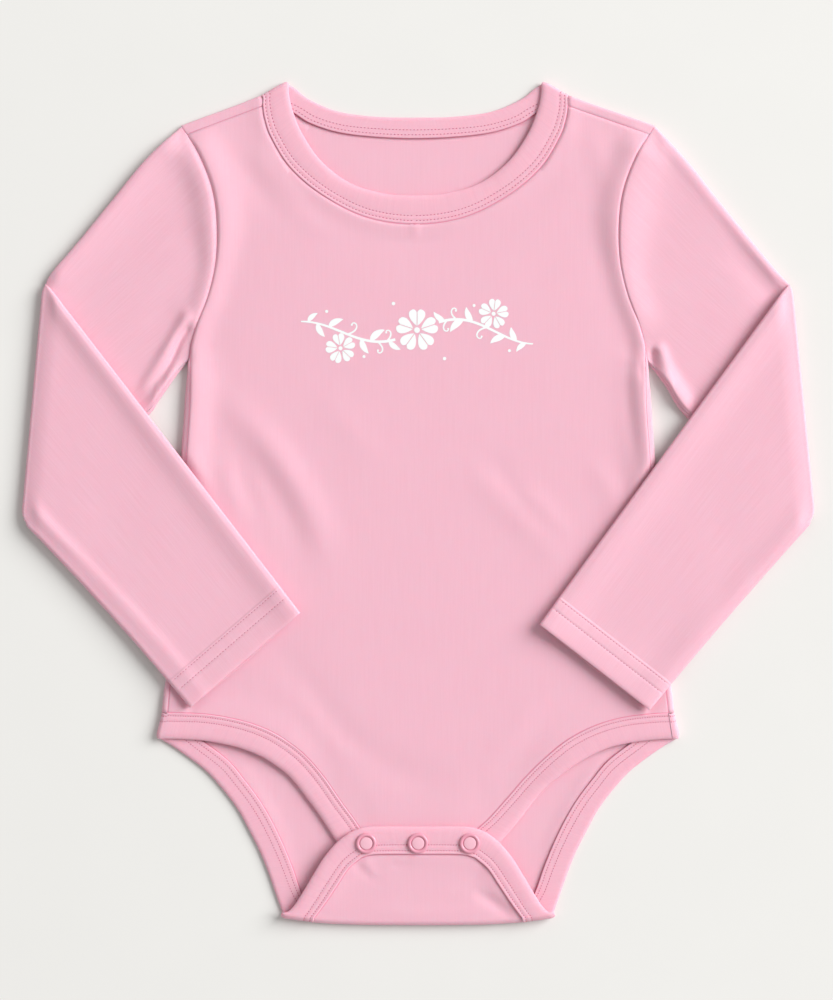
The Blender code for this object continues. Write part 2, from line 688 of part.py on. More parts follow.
# ---------------------------------------------------------------- sleeves
def flat_ring(line, near_direction, far_direction, first_heights, second_heights):
    """A ring of a tube that lies flat: one layer out along the line, a turn, the other layer back, a turn.

    Args:
        line: plan points across the tube, from its near edge to its far edge.
        near_direction: way the near edge points.
        far_direction: way the far edge points.
        first_heights: middle heights of the layer that runs out.
        second_heights: middle heights of the layer that runs back.
    """
    first = [np.array([*spot, height]) for spot, height in zip(line, first_heights)]
    second = [np.array([*spot, height]) for spot, height in zip(line, second_heights)]
    turned = [step / TURN_PARTS for step in range(1, TURN_PARTS)]
    far_turn = [half_turn(line[-1], far_direction, first_heights[-1], second_heights[-1], t) for t in turned]
    near_turn = [half_turn(line[0], near_direction, second_heights[0], first_heights[0], t) for t in turned]
    return first + far_turn + second[::-1] + near_turn


def inset_ends(start, end, inset):
    """The two ends of a line, each moved in along it."""
    along = unit(end - start)
    return start + inset * along, end - inset * along


def body_lift(x, y):
    """How far a forearm has to climb to lie on the front of the body."""
    outside = abs(x) - np.interp(y, *BODY_EDGE)
    climb = front_height(x, y) - FRONT_MID
    over_side = SIDE_CLIMB * ease(1.0 - outside / SIDE_CLIMB_REACH)
    return max(climb, 0.0) * ease(1.0 - outside / BODY_REACH) + over_side


def sag(x, y):
    """How far a forearm sinks beside the body and the upper sleeve."""
    out = abs(x)
    beside_body = out - np.interp(y, *BODY_EDGE)
    below_sleeve = np.interp(out, *UNDERARM_LINE) - y
    clear = min(beside_body - SAG_FROM_BODY, below_sleeve - SAG_FROM_SLEEVE)
    return FOREARM_SAG * ease(clear / SAG_OVER)


def build_sleeve(sleeve):
    """One sleeve: from the armhole to the elbow fold, over itself, and on to the open cuff."""
    side = sleeve.side
    edge_radius = LAYER_STEP / 2 + CLOTH / 2
    turn_height = (FOREARM_MID + LAYER_STEP + BACK_MID) / 2
    turn_radius = turn_height - BACK_MID + CLOTH / 2
    fold_top, fold_bottom, cuff_inner, cuff_outer = (
        np.array([side * spot.out, spot.up])
        for spot in (sleeve.fold_top, sleeve.fold_bottom, sleeve.cuff_inner, sleeve.cuff_outer)
    )
    outward = outward_of(fold_top, fold_bottom, side)
    elbow_near, elbow_far = inset_ends(fold_top, fold_bottom, edge_radius)
    elbow_near = elbow_near - turn_radius * outward
    elbow_far = elbow_far - turn_radius * outward
    cuff_near, cuff_far = inset_ends(cuff_inner, cuff_outer, edge_radius)
    elbow_line = np.linspace(elbow_near, elbow_far, ARMHOLE_PARTS + 1)
    cuff_line = np.linspace(cuff_near, cuff_far, ARMHOLE_PARTS + 1)
    along_forearm = unit(cuff_inner - fold_top)

    seam = armhole(side)
    arm_line = moved_aside(seam, side * SEAM_GAP)
    arm_line[-1] += (side * NOTCH_CLEAR[0], NOTCH_CLEAR[1])
    shoulder_turn = unit(seam[0] - seam[1])
    underarm_turn = unit((SLEEVE_NOTCH[0] * side, SLEEVE_NOTCH[1]))
    elbow_along = unit(elbow_far - elbow_near)

    across = np.linspace(0.0, 1.0, ARMHOLE_PARTS + 1)
    underarm = on_side(divided(UNDERARM_EDGE, UPPER_SLEEVE_PARTS), side)
    rings = []
    for step in range(UPPER_SLEEVE_PARTS + 1):
        t = step / UPPER_SLEEVE_PARTS
        line = (1 - t) * arm_line + t * elbow_line
        pull = underarm[step] - ((1 - t) * underarm[0] + t * underarm[-1])
        line = line + across[:, None] ** 2 * pull
        near_turn = unit((1 - t) * shoulder_turn - t * elbow_along)
        far_turn = unit((1 - t) * underarm_turn + t * elbow_along)
        low = [BACK_MID] * len(line)
        high = []
        for index, spot in enumerate(line):
            from_fold = spot - fold_top
            clear = side * (from_fold[0] * along_forearm[1] - from_fold[1] * along_forearm[0])
            swell = math.sin(math.pi * index / ARMHOLE_PARTS) * ease(clear / UPPER_SLEEVE_RISE)
            high.append(FRONT_MID + SLEEVE_PUFF * swell * ease(SLEEVE_EASE * t))
        rings.append(flat_ring(line, near_turn, far_turn, low, high))

    flat = rings[-1]
    for step in range(1, ELBOW_PARTS + 1):
        angle = math.pi * step / ELBOW_PARTS
        ring = []
        for point in flat:
            radius = turn_height - point[2]
            plan = point[:2] + radius * math.sin(angle) * outward
            ring.append(np.array([*plan, turn_height - radius * math.cos(angle)]))
        rings.append(ring)

    cuff_along = unit(cuff_far - cuff_near)
    for step in range(1, FOREARM_PARTS + 1):
        t = step / FOREARM_PARTS
        line = (1 - t) * elbow_line + t * cuff_line
        along = unit((1 - t) * elbow_along + t * cuff_along)
        low = [FOREARM_MID + body_lift(*spot) - sag(*spot) for spot in line]
        high = []
        for index, height in enumerate(low):
            swell = math.sin(math.pi * index / ARMHOLE_PARTS) * ease(SLEEVE_EASE * t)
            high.append(height + LAYER_STEP + SLEEVE_PUFF * swell)
        rings.append(flat_ring(line, -along, along, high, low))
    closed = [ring + [ring[0]] for ring in rings]
    cloth_piece(sleeve.name, [closed])


# ---------------------------------------------------------------- bindings
def build_neck_binding():
    """The ring round the neck: front band, turn over each shoulder, and back band."""
    halves = []
    for side in (1, -1):
        shoulder_end = on_side(np.array(NECK_FRONT_SEAM[:1]), side, NECK_CENTRE)
        seam_front = np.vstack([shoulder_end, neck_front_seam(side)])
        edge_front = on_side(at_shares(NECK_FRONT_EDGE, shares_of(seam_front)), side, NECK_CENTRE)
        seam_back = neck_back_seam(side)
        edge_back = on_side(at_shares(NECK_BACK_EDGE, shares_of(seam_back)), side, NECK_CENTRE)
        seam_front = moved_aside(seam_front, -side * SEAM_GAP)
        seam_back = moved_aside(seam_back, -side * SEAM_GAP)
        fold_seam = seam_front[0]
        seam_back[0] = fold_seam
        direction = outward_of(fold_seam, edge_front[0], side)
        sunk = [ease((NECK_DIP_FROM - abs(spot[0])) / NECK_DIP_OVER) for spot in seam_front]
        heights = [FRONT_BINDING_MID - NECK_DIP * share for share in sunk]
        front = flat_stations(seam_front, edge_front, heights, UP)
        turn = turned_stations(fold_seam, edge_front[0], direction, BACK_BINDING_MID, FRONT_BINDING_MID)
        back = flat_stations(seam_back, edge_back, [BACK_BINDING_MID] * len(seam_back), -UP)
        halves.append(front[::-1] + turn[::-1] + back)
    ring = halves[0] + halves[1][::-1][1:-1]
    binding_piece("neck_binding", ring, closed=True)


def leg_binding_height(spot):
    """Middle height of the front leg binding: high over the back binding, low under the flap."""
    sunk = ease((TAB_DIP_FROM - abs(spot[0])) / TAB_DIP_OVER)
    return FRONT_BINDING_MID - (FRONT_BINDING_MID - TAB_BINDING_MID) * sunk


def build_front_leg_binding(name, side):
    """Binding of one front leg edge, from the side seam to the end of the crotch tab."""
    seam = divided(LEG_FRONT_SEAM, LEG_PARTS)
    edge = at_shares(LEG_FRONT_EDGE, shares_of(seam))
    seam = moved_aside(seam, SEAM_GAP)
    seam[0][0] -= SEAM_GAP / 2
    edge[0][0] -= SEAM_GAP / 2
    seam = on_side(seam, side)
    edge = on_side(edge, side)
    heights = [leg_binding_height(spot) for spot in seam]
    binding_piece(name, flat_stations(seam, edge, heights, UP), closed=False)


def build_back_leg_binding():
    """The strip that binds the back leg edges and the flap, from one side seam to the other."""
    halves = []
    for side in (1, -1):
        seam_leg = divided(LEG_BACK_SEAM, LEG_PARTS)
        edge_leg = at_shares(LEG_BACK_EDGE, shares_of(seam_leg))
        seam_side = divided(FLAP_SEAM, FLAP_SIDE_PARTS)
        edge_side = at_shares(FLAP_EDGE, shares_of(seam_side))
        seam_top = divided(FLAP_TOP_SEAM, PANEL_PARTS // 2)
        edge_top = at_shares(FLAP_TOP_EDGE, shares_of(seam_top))
        seam_flap = moved_aside(np.vstack([seam_side, seam_top[1:]]), -SEAM_GAP)
        edge_flap = np.vstack([edge_side, edge_top[1:]])
        seam_leg = moved_aside(seam_leg, SEAM_GAP)
        corner = (LEG_BACK_SEAM[-1].out + SEAM_GAP, LEG_BACK_SEAM[-1].up)
        seam_leg[0] = (LEG_BACK_SEAM[0].out, LEG_BACK_SEAM[0].up - SEAM_GAP)
        seam_leg[-1] = corner
        seam_flap[0] = corner
        seam_flap[-1][0] = 0.0
        lines = (seam_leg, edge_leg, seam_flap, edge_flap)
        seam_leg, edge_leg, seam_flap, edge_flap = (on_side(line, side) for line in lines)
        end_seam = np.array([side * (LEG_FRONT_SEAM[0].out + SEAM_GAP / 2), LEG_FRONT_SEAM[0].up - SEAM_GAP])
        end_edge = np.array([side * (LEG_FRONT_EDGE[0].out + SEAM_GAP / 2), LEG_FRONT_EDGE[0].up])
        side_direction = outward_of(seam_leg[0], edge_leg[0], side)
        fold_direction = crotch_direction(seam_leg[-1][0])
        front, back, flap = FRONT_BINDING_MID, BACK_BINDING_MID, FLAP_BINDING_MID
        stations = flat_stations([end_seam, seam_leg[0]], [end_edge, edge_leg[0]], [front] * 2, UP)
        stations += turned_stations(seam_leg[0], edge_leg[0], side_direction, front, back)
        stations += flat_stations(seam_leg, edge_leg, [back] * len(seam_leg), -UP)
        stations += turned_stations(seam_leg[-1], edge_leg[-1], fold_direction, back, flap)
        stations += flat_stations(seam_flap, edge_flap, [flap] * len(seam_flap), UP)
        halves.append(stations)
    binding_piece("back_leg_binding", halves[0] + halves[1][::-1][1:], closed=False)


# ---------------------------------------------------------------- snaps
def turned_piece(name, profile, place, colour):
    """A round piece turned from a profile that starts and ends on its axis."""
    mesh_maker = bmesh.new()
    corners = [mesh_maker.verts.new((corner.radius * MM, 0.0, corner.height * MM)) for corner in profile]
    edges = [mesh_maker.edges.new(pair) for pair in zip(corners, corners[1:])]
    bmesh.ops.spin(mesh_maker, geom=corners + edges, cent=(0, 0, 0), axis=(0, 0, 1),
                   angle=math.tau, steps=ROUND_PARTS, use_merge=True)
    bmesh.ops.remove_doubles(mesh_maker, verts=mesh_maker.verts, dist=WELD * MM)
    bmesh.ops.recalc_face_normals(mesh_maker, faces=mesh_maker.faces)
    piece = add_object(name, mesh_maker, colour, PLASTIC_ROUGHNESS)
    piece.location = [value * MM for value in place]
    return piece


def build_snaps():
    """Three ring caps on top of the flap's binding, each with its socket on the tab below."""
    cap_base = FLAP_BINDING_MID + BINDING / 2 + SEAM_GAP
    socket_base = TAB_BINDING_TOP + SEAM_GAP
    for name, side in (("left", -1), ("middle", 0), ("right", 1)):
        x = side * SNAP_SPREAD
        turned_piece("snap_cap_" + name, CAP_PROFILE, (x, SNAP_UP, cap_base), PINK_PLASTIC)
        turned_piece("snap_socket_" + name, SOCKET_PROFILE, (x, SNAP_UP, socket_base), PINK_PLASTIC)


def main():
    """Build every piece of the garment."""
    for piece in list(bpy.data.objects):
        bpy.data.objects.remove(piece)
    build_back_panel()
    build_front_panel()
    for sleeve in SLEEVES:
        build_sleeve(sleeve)
    build_neck_binding()
    build_front_leg_binding("front_leg_binding_left", -1)
    build_front_leg_binding("front_leg_binding_right", 1)
    build_back_leg_binding()
    build_snaps()


main()
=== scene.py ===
"""Looks of a long-sleeved baby onesie of pink cotton jersey, laid flat with its front up.

Each piece of cloth is a thin shell on the form of its solid, with rolled edges, seam ditches and soft
creases placed one by one. Bindings, twin-needle stitches, ring snaps and a printed sprig lie on them.
Sizes are millimetres and become metres where a mesh is filled. X runs across the body, Y from the crotch
up to the neck, Z up from the surface. "out" is a distance from the centre line, for both sides.
"""
from __future__ import annotations

import logging
import math
from collections.abc import Callable, Sequence
from dataclasses import dataclass, field, replace
from enum import Enum
from typing import NamedTuple

import bmesh
import bpy
import numpy as np
from bmesh.types import BMesh
from bpy.types import ID, Material, Mesh, Node, NodeSocket, NodeTree, Object
from mathutils import Matrix, Vector

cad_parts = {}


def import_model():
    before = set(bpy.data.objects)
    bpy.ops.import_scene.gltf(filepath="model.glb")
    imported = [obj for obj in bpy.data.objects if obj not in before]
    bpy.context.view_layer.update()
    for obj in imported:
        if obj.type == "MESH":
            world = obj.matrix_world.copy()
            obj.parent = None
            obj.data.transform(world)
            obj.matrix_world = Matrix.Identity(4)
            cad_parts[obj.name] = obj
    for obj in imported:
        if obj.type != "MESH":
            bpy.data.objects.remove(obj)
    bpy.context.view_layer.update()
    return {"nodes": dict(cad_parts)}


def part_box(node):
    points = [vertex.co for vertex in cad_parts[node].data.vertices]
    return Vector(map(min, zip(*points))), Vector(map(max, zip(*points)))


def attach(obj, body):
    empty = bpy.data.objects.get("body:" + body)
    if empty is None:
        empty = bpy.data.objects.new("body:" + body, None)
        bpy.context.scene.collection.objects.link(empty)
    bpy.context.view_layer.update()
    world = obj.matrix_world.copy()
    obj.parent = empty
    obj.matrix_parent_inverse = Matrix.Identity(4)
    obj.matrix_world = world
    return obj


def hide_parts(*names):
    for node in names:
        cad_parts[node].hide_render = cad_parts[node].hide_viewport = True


log = logging.getLogger("onesie")

MM = 0.001
BODY = "root"
Array = np.ndarray
Pair = tuple[float, float]
TwoLines = tuple[Array, Array]
UP = np.array([0.0, 0.0, 1.0])
STEPS = 12  # divisions of a smooth line between two of its spots


class Spot(NamedTuple):
    """A place in plan: distance from the centre line and height along the body."""

    out: float
    up: float


Spots = tuple[Spot, ...]
Creases = tuple["Crease", ...]


class Side(Enum):
    """Which side of the garment, as its sign along X."""

    LEFT = -1
    RIGHT = 1


class Fade(Enum):
    """How a crease dies away along its length."""

    BOTH_ENDS = "both ends"
    TOWARDS_END = "towards its end"


# -------- lines
def curve(*pairs: Pair) -> Spots:
    """The spots of a line in plan, from pairs of out and up."""
    return tuple(Spot(*pair) for pair in pairs)


def evenly(parts: int) -> Array:
    """Shares from 0 to 1 at the ends of even parts."""
    return np.linspace(0.0, 1.0, parts + 1)


def ease(value: Array | float) -> Array:
    """Zero below 0, one above 1, and smooth between them."""
    t = np.clip(value, 0.0, 1.0)
    return t * t * (3.0 - 2.0 * t)


def ramp(value: Array, start: float, over: float) -> Array:
    """Zero up to a start, and one from a stretch past it on."""
    return ease((value - start) / over)


def bell(away: Array, width: Array | float) -> Array:
    """One at 0, dying away smoothly on both sides of it, to 0.37 at the width."""
    return np.exp(-(away / width) ** 2)


def smooth_line(spots: Sequence[Sequence[float]], steps: int = STEPS) -> Array:
    """A dense smooth line through the spots.

    Args:
        spots: places in plan.
        steps: divisions between two spots.
    Returns:
        Rows of x, y.
    """
    known = np.array([(spot[0], spot[1]) for spot in spots], dtype=float)
    padded = np.vstack([2 * known[0] - known[1], known, 2 * known[-1] - known[-2]])
    t = np.linspace(0.0, 1.0, steps, endpoint=False)[:, None]
    rows = []
    for before, start, end, after in zip(padded, padded[1:], padded[2:], padded[3:]):
        rows.append(0.5 * (2 * start + (end - before) * t
                           + (2 * before - 5 * start + 4 * end - after) * t ** 2
                           + (3 * start - before - 3 * end + after) * t ** 3))
    return np.vstack(rows + [known[-1:]])


def to_middle(spots: Sequence[Spot], steps: int = STEPS) -> Array:
    """A smooth line through spots that end on the centre line, and cross it without a corner."""
    beyond = Spot(-spots[-2].out, spots[-2].up)
    return smooth_line([*spots, beyond], steps)[:-steps]


def travelled(line: Array) -> Array:
    """Distance along a line at each of its points."""
    return np.concatenate([[0.0], np.cumsum(np.linalg.norm(np.diff(line, axis=0), axis=1))])


def at_distances(line: Array, distances: Array) -> Array:
    """Points of a dense line at these distances along it."""
    reached = travelled(line)
    return np.column_stack([np.interp(distances, reached, values) for values in line.T])


def at_shares(line: Array, shares: Array) -> Array:
    """Points of a dense line at these shares of its length."""
    return at_distances(line, np.asarray(shares) * travelled(line)[-1])


def shares_of(line: Array) -> Array:
    """Share of its length that each point of a line has reached."""
    reached = travelled(line)
    return reached / reached[-1]


def matched(seam: Array, edge: Array, parts: int) -> TwoLines:
    """Even points along a dense seam, and the points beside them on its folded edge."""
    seam = at_shares(seam, evenly(parts))
    return seam, at_shares(edge, shares_of(seam))


def aside_of(line: Array) -> Array:
    """Unit vectors to the left of a line's course, seen from above."""
    ahead = unit(np.gradient(line, axis=0))
    return np.column_stack([-ahead[:, 1], ahead[:, 0]])


def moved_aside(line: Array, distance: float) -> Array:
    """The line moved to its left by a distance, seen from above."""
    return line + distance * aside_of(line)


def on_side(line: Array, side: Side, centre: float = 0.0) -> Array:
    """A line of out, up rows placed on one side of the body."""
    line = np.asarray(line, dtype=float)
    return np.column_stack([centre + side.value * line[:, 0], line[:, 1]])


def unit(vector: Array) -> Array:
    """The vector, or each row of vectors, at length 1."""
    vector = np.asarray(vector, dtype=float)
    return vector / np.linalg.norm(vector, axis=-1, keepdims=True)


def outward_of(inner: Array, outer: Array, side: Side) -> Array:
    """Direction square to a fold line in plan, pointing away from the body on the given side."""
    along = unit(outer - inner)
    direction = np.array([along[1], -along[0]])
    return direction if direction[0] * side.value >= 0 else -direction


def nearest(points: Array, line: Array) -> TwoLines:
    """Distance from each point to a line, and how far along the line its nearest place is."""
    away = np.full(len(points), np.inf)
    along = np.zeros(len(points))
    for start, end, reached in zip(line, line[1:], travelled(line)):
        step = end - start
        length = np.linalg.norm(step)
        t = np.clip((points - start) @ step / length ** 2, 0.0, 1.0)
        gap = np.hypot(*(points - start - t[:, None] * step).T)
        closer = gap < away
        away[closer] = gap[closer]
        along[closer] = reached + t[closer] * length
    return away, along


def crowded(parts: int, start: float = 0.0, end: float = 0.0) -> Array:
    """Shares from 0 to 1 that lie closer together at the start, the end or both.

    Args:
        parts: number of steps.
        start: from 0, even, to nearly 1, very close at the start.
        end: the same at the end.
    """
    t = evenly(parts)
    pull = (start + end) / 2
    tilt = (start - end) / 2
    return t - pull * np.sin(2 * math.pi * t) / (2 * math.pi) - tilt * np.sin(math.pi * t) / math.pi


# -------- the cut, as it lies
@dataclass(frozen=True)
class Cut:
    """Outlines, seams and layer heights of the laid-out garment, the same as its solids have."""

    cloth: float = 0.7
    back_mid: float = 0.45
    front_mid: float = 2.85
    back_binding_mid: float = 1.25
    front_binding_mid: float = 3.6
    flap_mid: float = 5.4
    flap_binding_mid: float = 6.0
    forearm_mid: float = 4.15
    layer_step: float = 2.3
    turn_reach: float = 1.75
    side_inset: float = 2.1
    seam_gap: float = 0.12
    shoulder_lip: float = 4.0
    underarm_lip: float = 6.0
    side_seam_under_arm: float = 2.9
    side_seam_at_leg: float = 3.2
    side_stations: int = 9
    shoulder_stations: int = 12
    neck_centre: float = -1.5
    tab_end: float = -180.0
    crotch_fold_sag: float = 1.4
    crotch_lean: float = 0.26
    armhole_spots: Spots = curve(
        (119.9, 191.4), (111.2, 177.5), (104.5, 160), (102.2, 142.5), (102.8, 124), (106.5, 107),
        (112, 92.5), (115, 82), (116.4, 73.5))
    side_edge_spots: Spots = curve(
        (118.2, 70), (118.7, 53), (120.6, 25), (123.6, -20), (127, -65), (129.6, -95), (130.5, -106.3))
    neck_front_seam: Spots = curve(
        (77.5, 206.5), (77.6, 202.6), (76.6, 196), (73.3, 186.5), (63.5, 171), (47, 157), (25, 146),
        (0, 142.4))
    neck_front_edge: Spots = curve(
        (64.2, 213.8), (63.9, 207.9), (61.9, 199.5), (57, 188), (47.5, 174.5), (33, 163.5), (15.5, 158.2),
        (0, 157.2))
    neck_back_seam: Spots = curve(
        (77.5, 206.5), (70, 203.3), (62, 199.3), (53.5, 194), (39, 189.3), (20.5, 187), (0, 186.2))
    neck_back_edge: Spots = curve(
        (64.2, 213.8), (60.5, 211.4), (53.5, 206), (39, 200), (20, 197.4), (0, 197))
    shoulder_seam_spots: Spots = curve((117.5, 188.4), (97.8, 195.6), (77.6, 202.6))
    leg_front_seam_right: Spots = curve(
        (127.3, -106.3), (118, -106.8), (104, -108.6), (90.5, -112.5), (77, -119.2), (65.5, -128.2),
        (55, -138.5), (45, -150), (36, -160), (29.5, -166), (24, -173), (20.5, -180))
    leg_front_edge_right: Spots = curve(
        (129.4, -119.6), (121, -120), (108, -121.6), (95.5, -124.8), (83, -131), (71, -139.5), (61, -149),
        (52.5, -160), (44.5, -169.5), (38.5, -177), (34.5, -183))
    leg_front_seam_left: Spots = curve(
        (127.3, -106), (118, -106.3), (107.9, -106.8), (96.3, -108.6), (84.6, -111.6), (72.9, -116.5),
        (61.9, -123.8), (54.6, -130.6), (47.2, -139.6), (38.8, -151.8), (31.4, -161.9), (25.5, -171.5),
        (20.5, -180))
    leg_front_edge_left: Spots = curve(
        (129.4, -119.6), (121, -119.7), (109.4, -120.5), (99.2, -122.2), (89.4, -124.7), (78.9, -129.1),
        (69, -135.8), (63.6, -141), (57.5, -148.9), (50.5, -158.4), (43.8, -168.7), (38.8, -176),
        (34.5, -182))
    leg_back_seam: Spots = curve(
        (128.2, -106.6), (120, -113), (110, -120.5), (97, -130.5), (88.5, -140.5), (81, -150.5),
        (74.5, -161.5), (68.6, -173.8), (63.7, -186), (59.2, -198.5), (52.5, -210.1))
    leg_back_edge: Spots = curve(
        (131.3, -119.8), (122.2, -125.5), (108.6, -135.7), (99.2, -146), (91.8, -156), (86.2, -166.3),
        (81, -176.5), (76.8, -186.7), (73.2, -197), (69.4, -207.6))
    flap_seam: Spots = curve((52.5, -210.1), (46.9, -202.6), (41, -193.8), (35.2, -185.2), (28.7, -179.7))
    flap_top_seam: Spots = curve((28.7, -179.7), (21.5, -178.1), (0, -178))
    flap_edge: Spots = curve(
        (69.4, -207.6), (66.4, -207.2), (63, -203.9), (59.3, -198.2), (54.3, -189.8), (48.3, -180),
        (41.4, -171.8), (35, -166.8))
    flap_top_edge: Spots = curve((35, -166.8), (27.5, -164.1), (17, -163.6), (0, -163.6))

    def leg_front(self, side: Side) -> TwoLines:
        """Seam and folded edge of a front leg binding, as out, up rows."""
        if side is Side.LEFT:
            return smooth_line(self.leg_front_seam_left), smooth_line(self.leg_front_edge_left)
        return smooth_line(self.leg_front_seam_right), smooth_line(self.leg_front_edge_right)

    def leg_height(self, points: Array) -> Array:
        """Height of the front leg seams at each point's distance from the centre line."""
        out = np.abs(points[:, 0])
        heights = [np.interp(out, *self.leg_front(side)[0][::-1].T) for side in Side]
        return np.where(points[:, 0] < 0, heights[0], heights[1])

    def armhole(self) -> Array:
        """Armhole seam, from the shoulder fold to the notch under the arm."""
        return smooth_line(self.armhole_spots)

    def armhole_marks(self) -> tuple[float, float, float]:
        """Distances along the armhole of the shoulder seam, the yoke and the side seam."""
        last = travelled(self.armhole())[-1] - self.underarm_lip
        return self.shoulder_lip, (self.shoulder_lip + last) / 2, last

    def side_edge(self) -> Array:
        """Stations of the body's edge, from under the arm to the leg."""
        shares = evenly(self.side_stations)
        return at_shares(smooth_line(self.side_edge_spots), shares)

    def side_axis(self) -> Array:
        """Line that the cloth turns over at the side."""
        axis = self.side_edge() - np.array([self.side_inset, 0.0])
        axis[0] = self.armhole_spots[-1]
        return smooth_line(axis)

    def side_seam(self) -> Array:
        """Where the front panel ends at the side."""
        seam = self.side_edge()
        seam[:, 0] -= np.linspace(self.side_seam_under_arm, self.side_seam_at_leg, len(seam))
        seam[0] = at_distances(self.armhole(), [self.armhole_marks()[2]])[0]
        return smooth_line(seam)

    def shoulder_seam(self) -> Array:
        """Front edge of the shoulder, from the armhole to the neck, without the neck's shift."""
        seam = smooth_line(self.shoulder_seam_spots)
        start = at_distances(self.armhole(), [self.shoulder_lip])[0]
        return seam + (start - seam[0]) * (1.0 - shares_of(seam))[:, None]

    def shoulder_axis(self) -> Array:
        """Line that the cloth turns over on the shoulder, from the armhole to the neck."""
        return np.linspace(self.armhole_spots[0], self.neck_front_seam[0], self.shoulder_stations + 1)

    def neck_line(self, spots: Spots, side: Side, steps: int = STEPS) -> Array:
        """A dense line round one side of the neck, from the shoulder to the middle."""
        return on_side(to_middle(spots, steps), side, self.neck_centre)

    def with_neck(self, line: Array, side: Side) -> Array:
        """A shoulder line on one side, its neck end moved along with the neck."""
        placed = on_side(line, side)
        placed[:, 0] += self.neck_centre * shares_of(line)
        return placed

    def crotch_axis(self, shares: Array) -> Array:
        """Points of the line that the back turns over at the crotch, from -X to +X."""
        end = self.leg_back_seam[-1]
        across = end.out * (2.0 * shares - 1.0)
        return np.column_stack([across, end.up - self.crotch_fold_sag * (1.0 - (across / end.out) ** 4)])

    def crotch_direction(self, x: Array) -> Array:
        """Outward direction of the crotch fold where it crosses x."""
        lean = self.crotch_lean * np.asarray(x) / self.leg_back_seam[-1].out
        return unit(np.stack([lean, -np.ones_like(lean)], axis=-1))

    def edge_out(self, y: Array) -> Array:
        """How far out the body reaches at a height."""
        spots = sorted(self.side_edge_spots + self.armhole_spots, key=lambda spot: spot.up)
        return np.interp(y, [spot.up for spot in spots], [spot.out for spot in spots])


CUT = Cut()


class ForearmPlace(NamedTuple):
    """Where a folded sleeve lies: ends of its elbow fold and of its cuff."""

    side: Side
    fold_top: Spot
    fold_bottom: Spot
    cuff_inner: Spot
    cuff_outer: Spot

    def depth_under(self, points: Array) -> Array:
        """How far inside the forearm's outline each plan point is; negative outside it."""
        corners = on_side([self.fold_top, self.cuff_inner, self.cuff_outer, self.fold_bottom], self.side)
        depth = np.full(len(points), np.inf)
        for start, end in zip(corners, corners[1:]):
            ahead = unit(end - start)
            inward = -self.side.value * np.array([-ahead[1], ahead[0]])
            depth = np.minimum(depth, -((points - start) @ inward))
        return depth


FOREARM_LEFT = ForearmPlace(
    Side.LEFT, *curve((191, 112.2), (201.9, -8), (59.8, -55.1), (115.8, -103.4)))
FOREARM_RIGHT = ForearmPlace(
    Side.RIGHT, *curve((190.4, 111.9), (202.2, -7), (61.6, -61), (117.8, -104.6)))


# -------- relief of the cloth
@dataclass(frozen=True)
class Crease:
    """A soft ridge, or a trough if its height is negative, along a curve in plan."""

    path: tuple[Pair, ...]
    width: float
    height: float
    fade: Fade = Fade.BOTH_ENDS
    sharpness: float = 0.7

    def lift(self, points: Array) -> Array:
        """What the crease adds to the height at each point."""
        line = smooth_line(self.path, 8)
        reach = 3.0 * self.width
        low, high = line.min(axis=0) - reach, line.max(axis=0) + reach
        near = np.all((points > low) & (points < high), axis=1)
        total = np.zeros(len(points))
        if not near.any():
            return total
        away, along = nearest(points[near], line)
        share = along / travelled(line)[-1]
        if self.fade is Fade.BOTH_ENDS:
            strength = np.sin(math.pi * np.clip(share, 0.02, 0.98)) ** self.sharpness
        else:
            strength = np.cos(math.pi / 2 * np.clip(share, 0.0, 0.99)) ** self.sharpness
        total[near] = self.height * strength * bell(away, self.width)
        return total


def creases(*rows: tuple) -> Creases:
    """Creases from rows of path, width, height, and where they differ fade and sharpness."""
    return tuple(Crease(*row) for row in rows)


def both_sides(crease: Crease) -> tuple[Crease, Crease]:
    """A crease and its mirror image across the centre line."""
    return crease, replace(crease, path=tuple((-x, y) for x, y in crease.path))


def creased(height: Array | float, creases: Sequence[Crease], points: Array) -> Array:
    """A height at each point, with what the creases add to it."""
    total = np.zeros(len(points)) + height
    for crease in creases:
        total += crease.lift(points)
    return total


@dataclass(frozen=True)
class Roll:
    """The plump roll along a folded or sewn edge: it climbs to a crest and falls away."""

    height: float
    crest: float
    inner: float
    outer: float = 2.5

    def lift(self, away: Array) -> Array:
        """Height of the roll at a distance inside the edge."""
        past = away - self.crest
        return self.height * bell(past, np.where(past > 0, self.inner, self.outer))


@dataclass(frozen=True)
class Ditch:
    """The narrow dip of the cloth into a seam."""

    depth: float = 0.75
    width: float = 0.8

    def lift(self, away: Array) -> Array:
        """What the seam takes off the height at a distance from it."""
        return -self.depth * bell(away, self.width)


@dataclass(frozen=True)
class Allowance:
    """How an armhole's seam allowance lifts the cloth, by distance from the shoulder."""

    builds_over: float = 16.0
    calmer: float = 0.38
    calms: Pair = (50.0, 30.0)  # where it starts to calm, and over what length
    narrower: float = 0.35
    narrows: Pair = (45.0, 35.0)
    ditch_least: float = 0.4

    def strength(self, along: Array) -> Array:
        """How strongly it lifts the cloth."""
        return ease(along / self.builds_over) * (1.0 - self.calmer * ramp(along, *self.calms))

    def width(self, along: Array) -> Array:
        """How wide the rolls beside it are, as a share of their full width."""
        return 1.0 - self.narrower * ramp(along, *self.narrows)

    def ditch(self, strength: Array) -> Array:
        """How deep the seam's ditch is, as a share of its full depth."""
        return self.ditch_least + (1.0 - self.ditch_least) * strength


ALLOWANCE = Allowance()


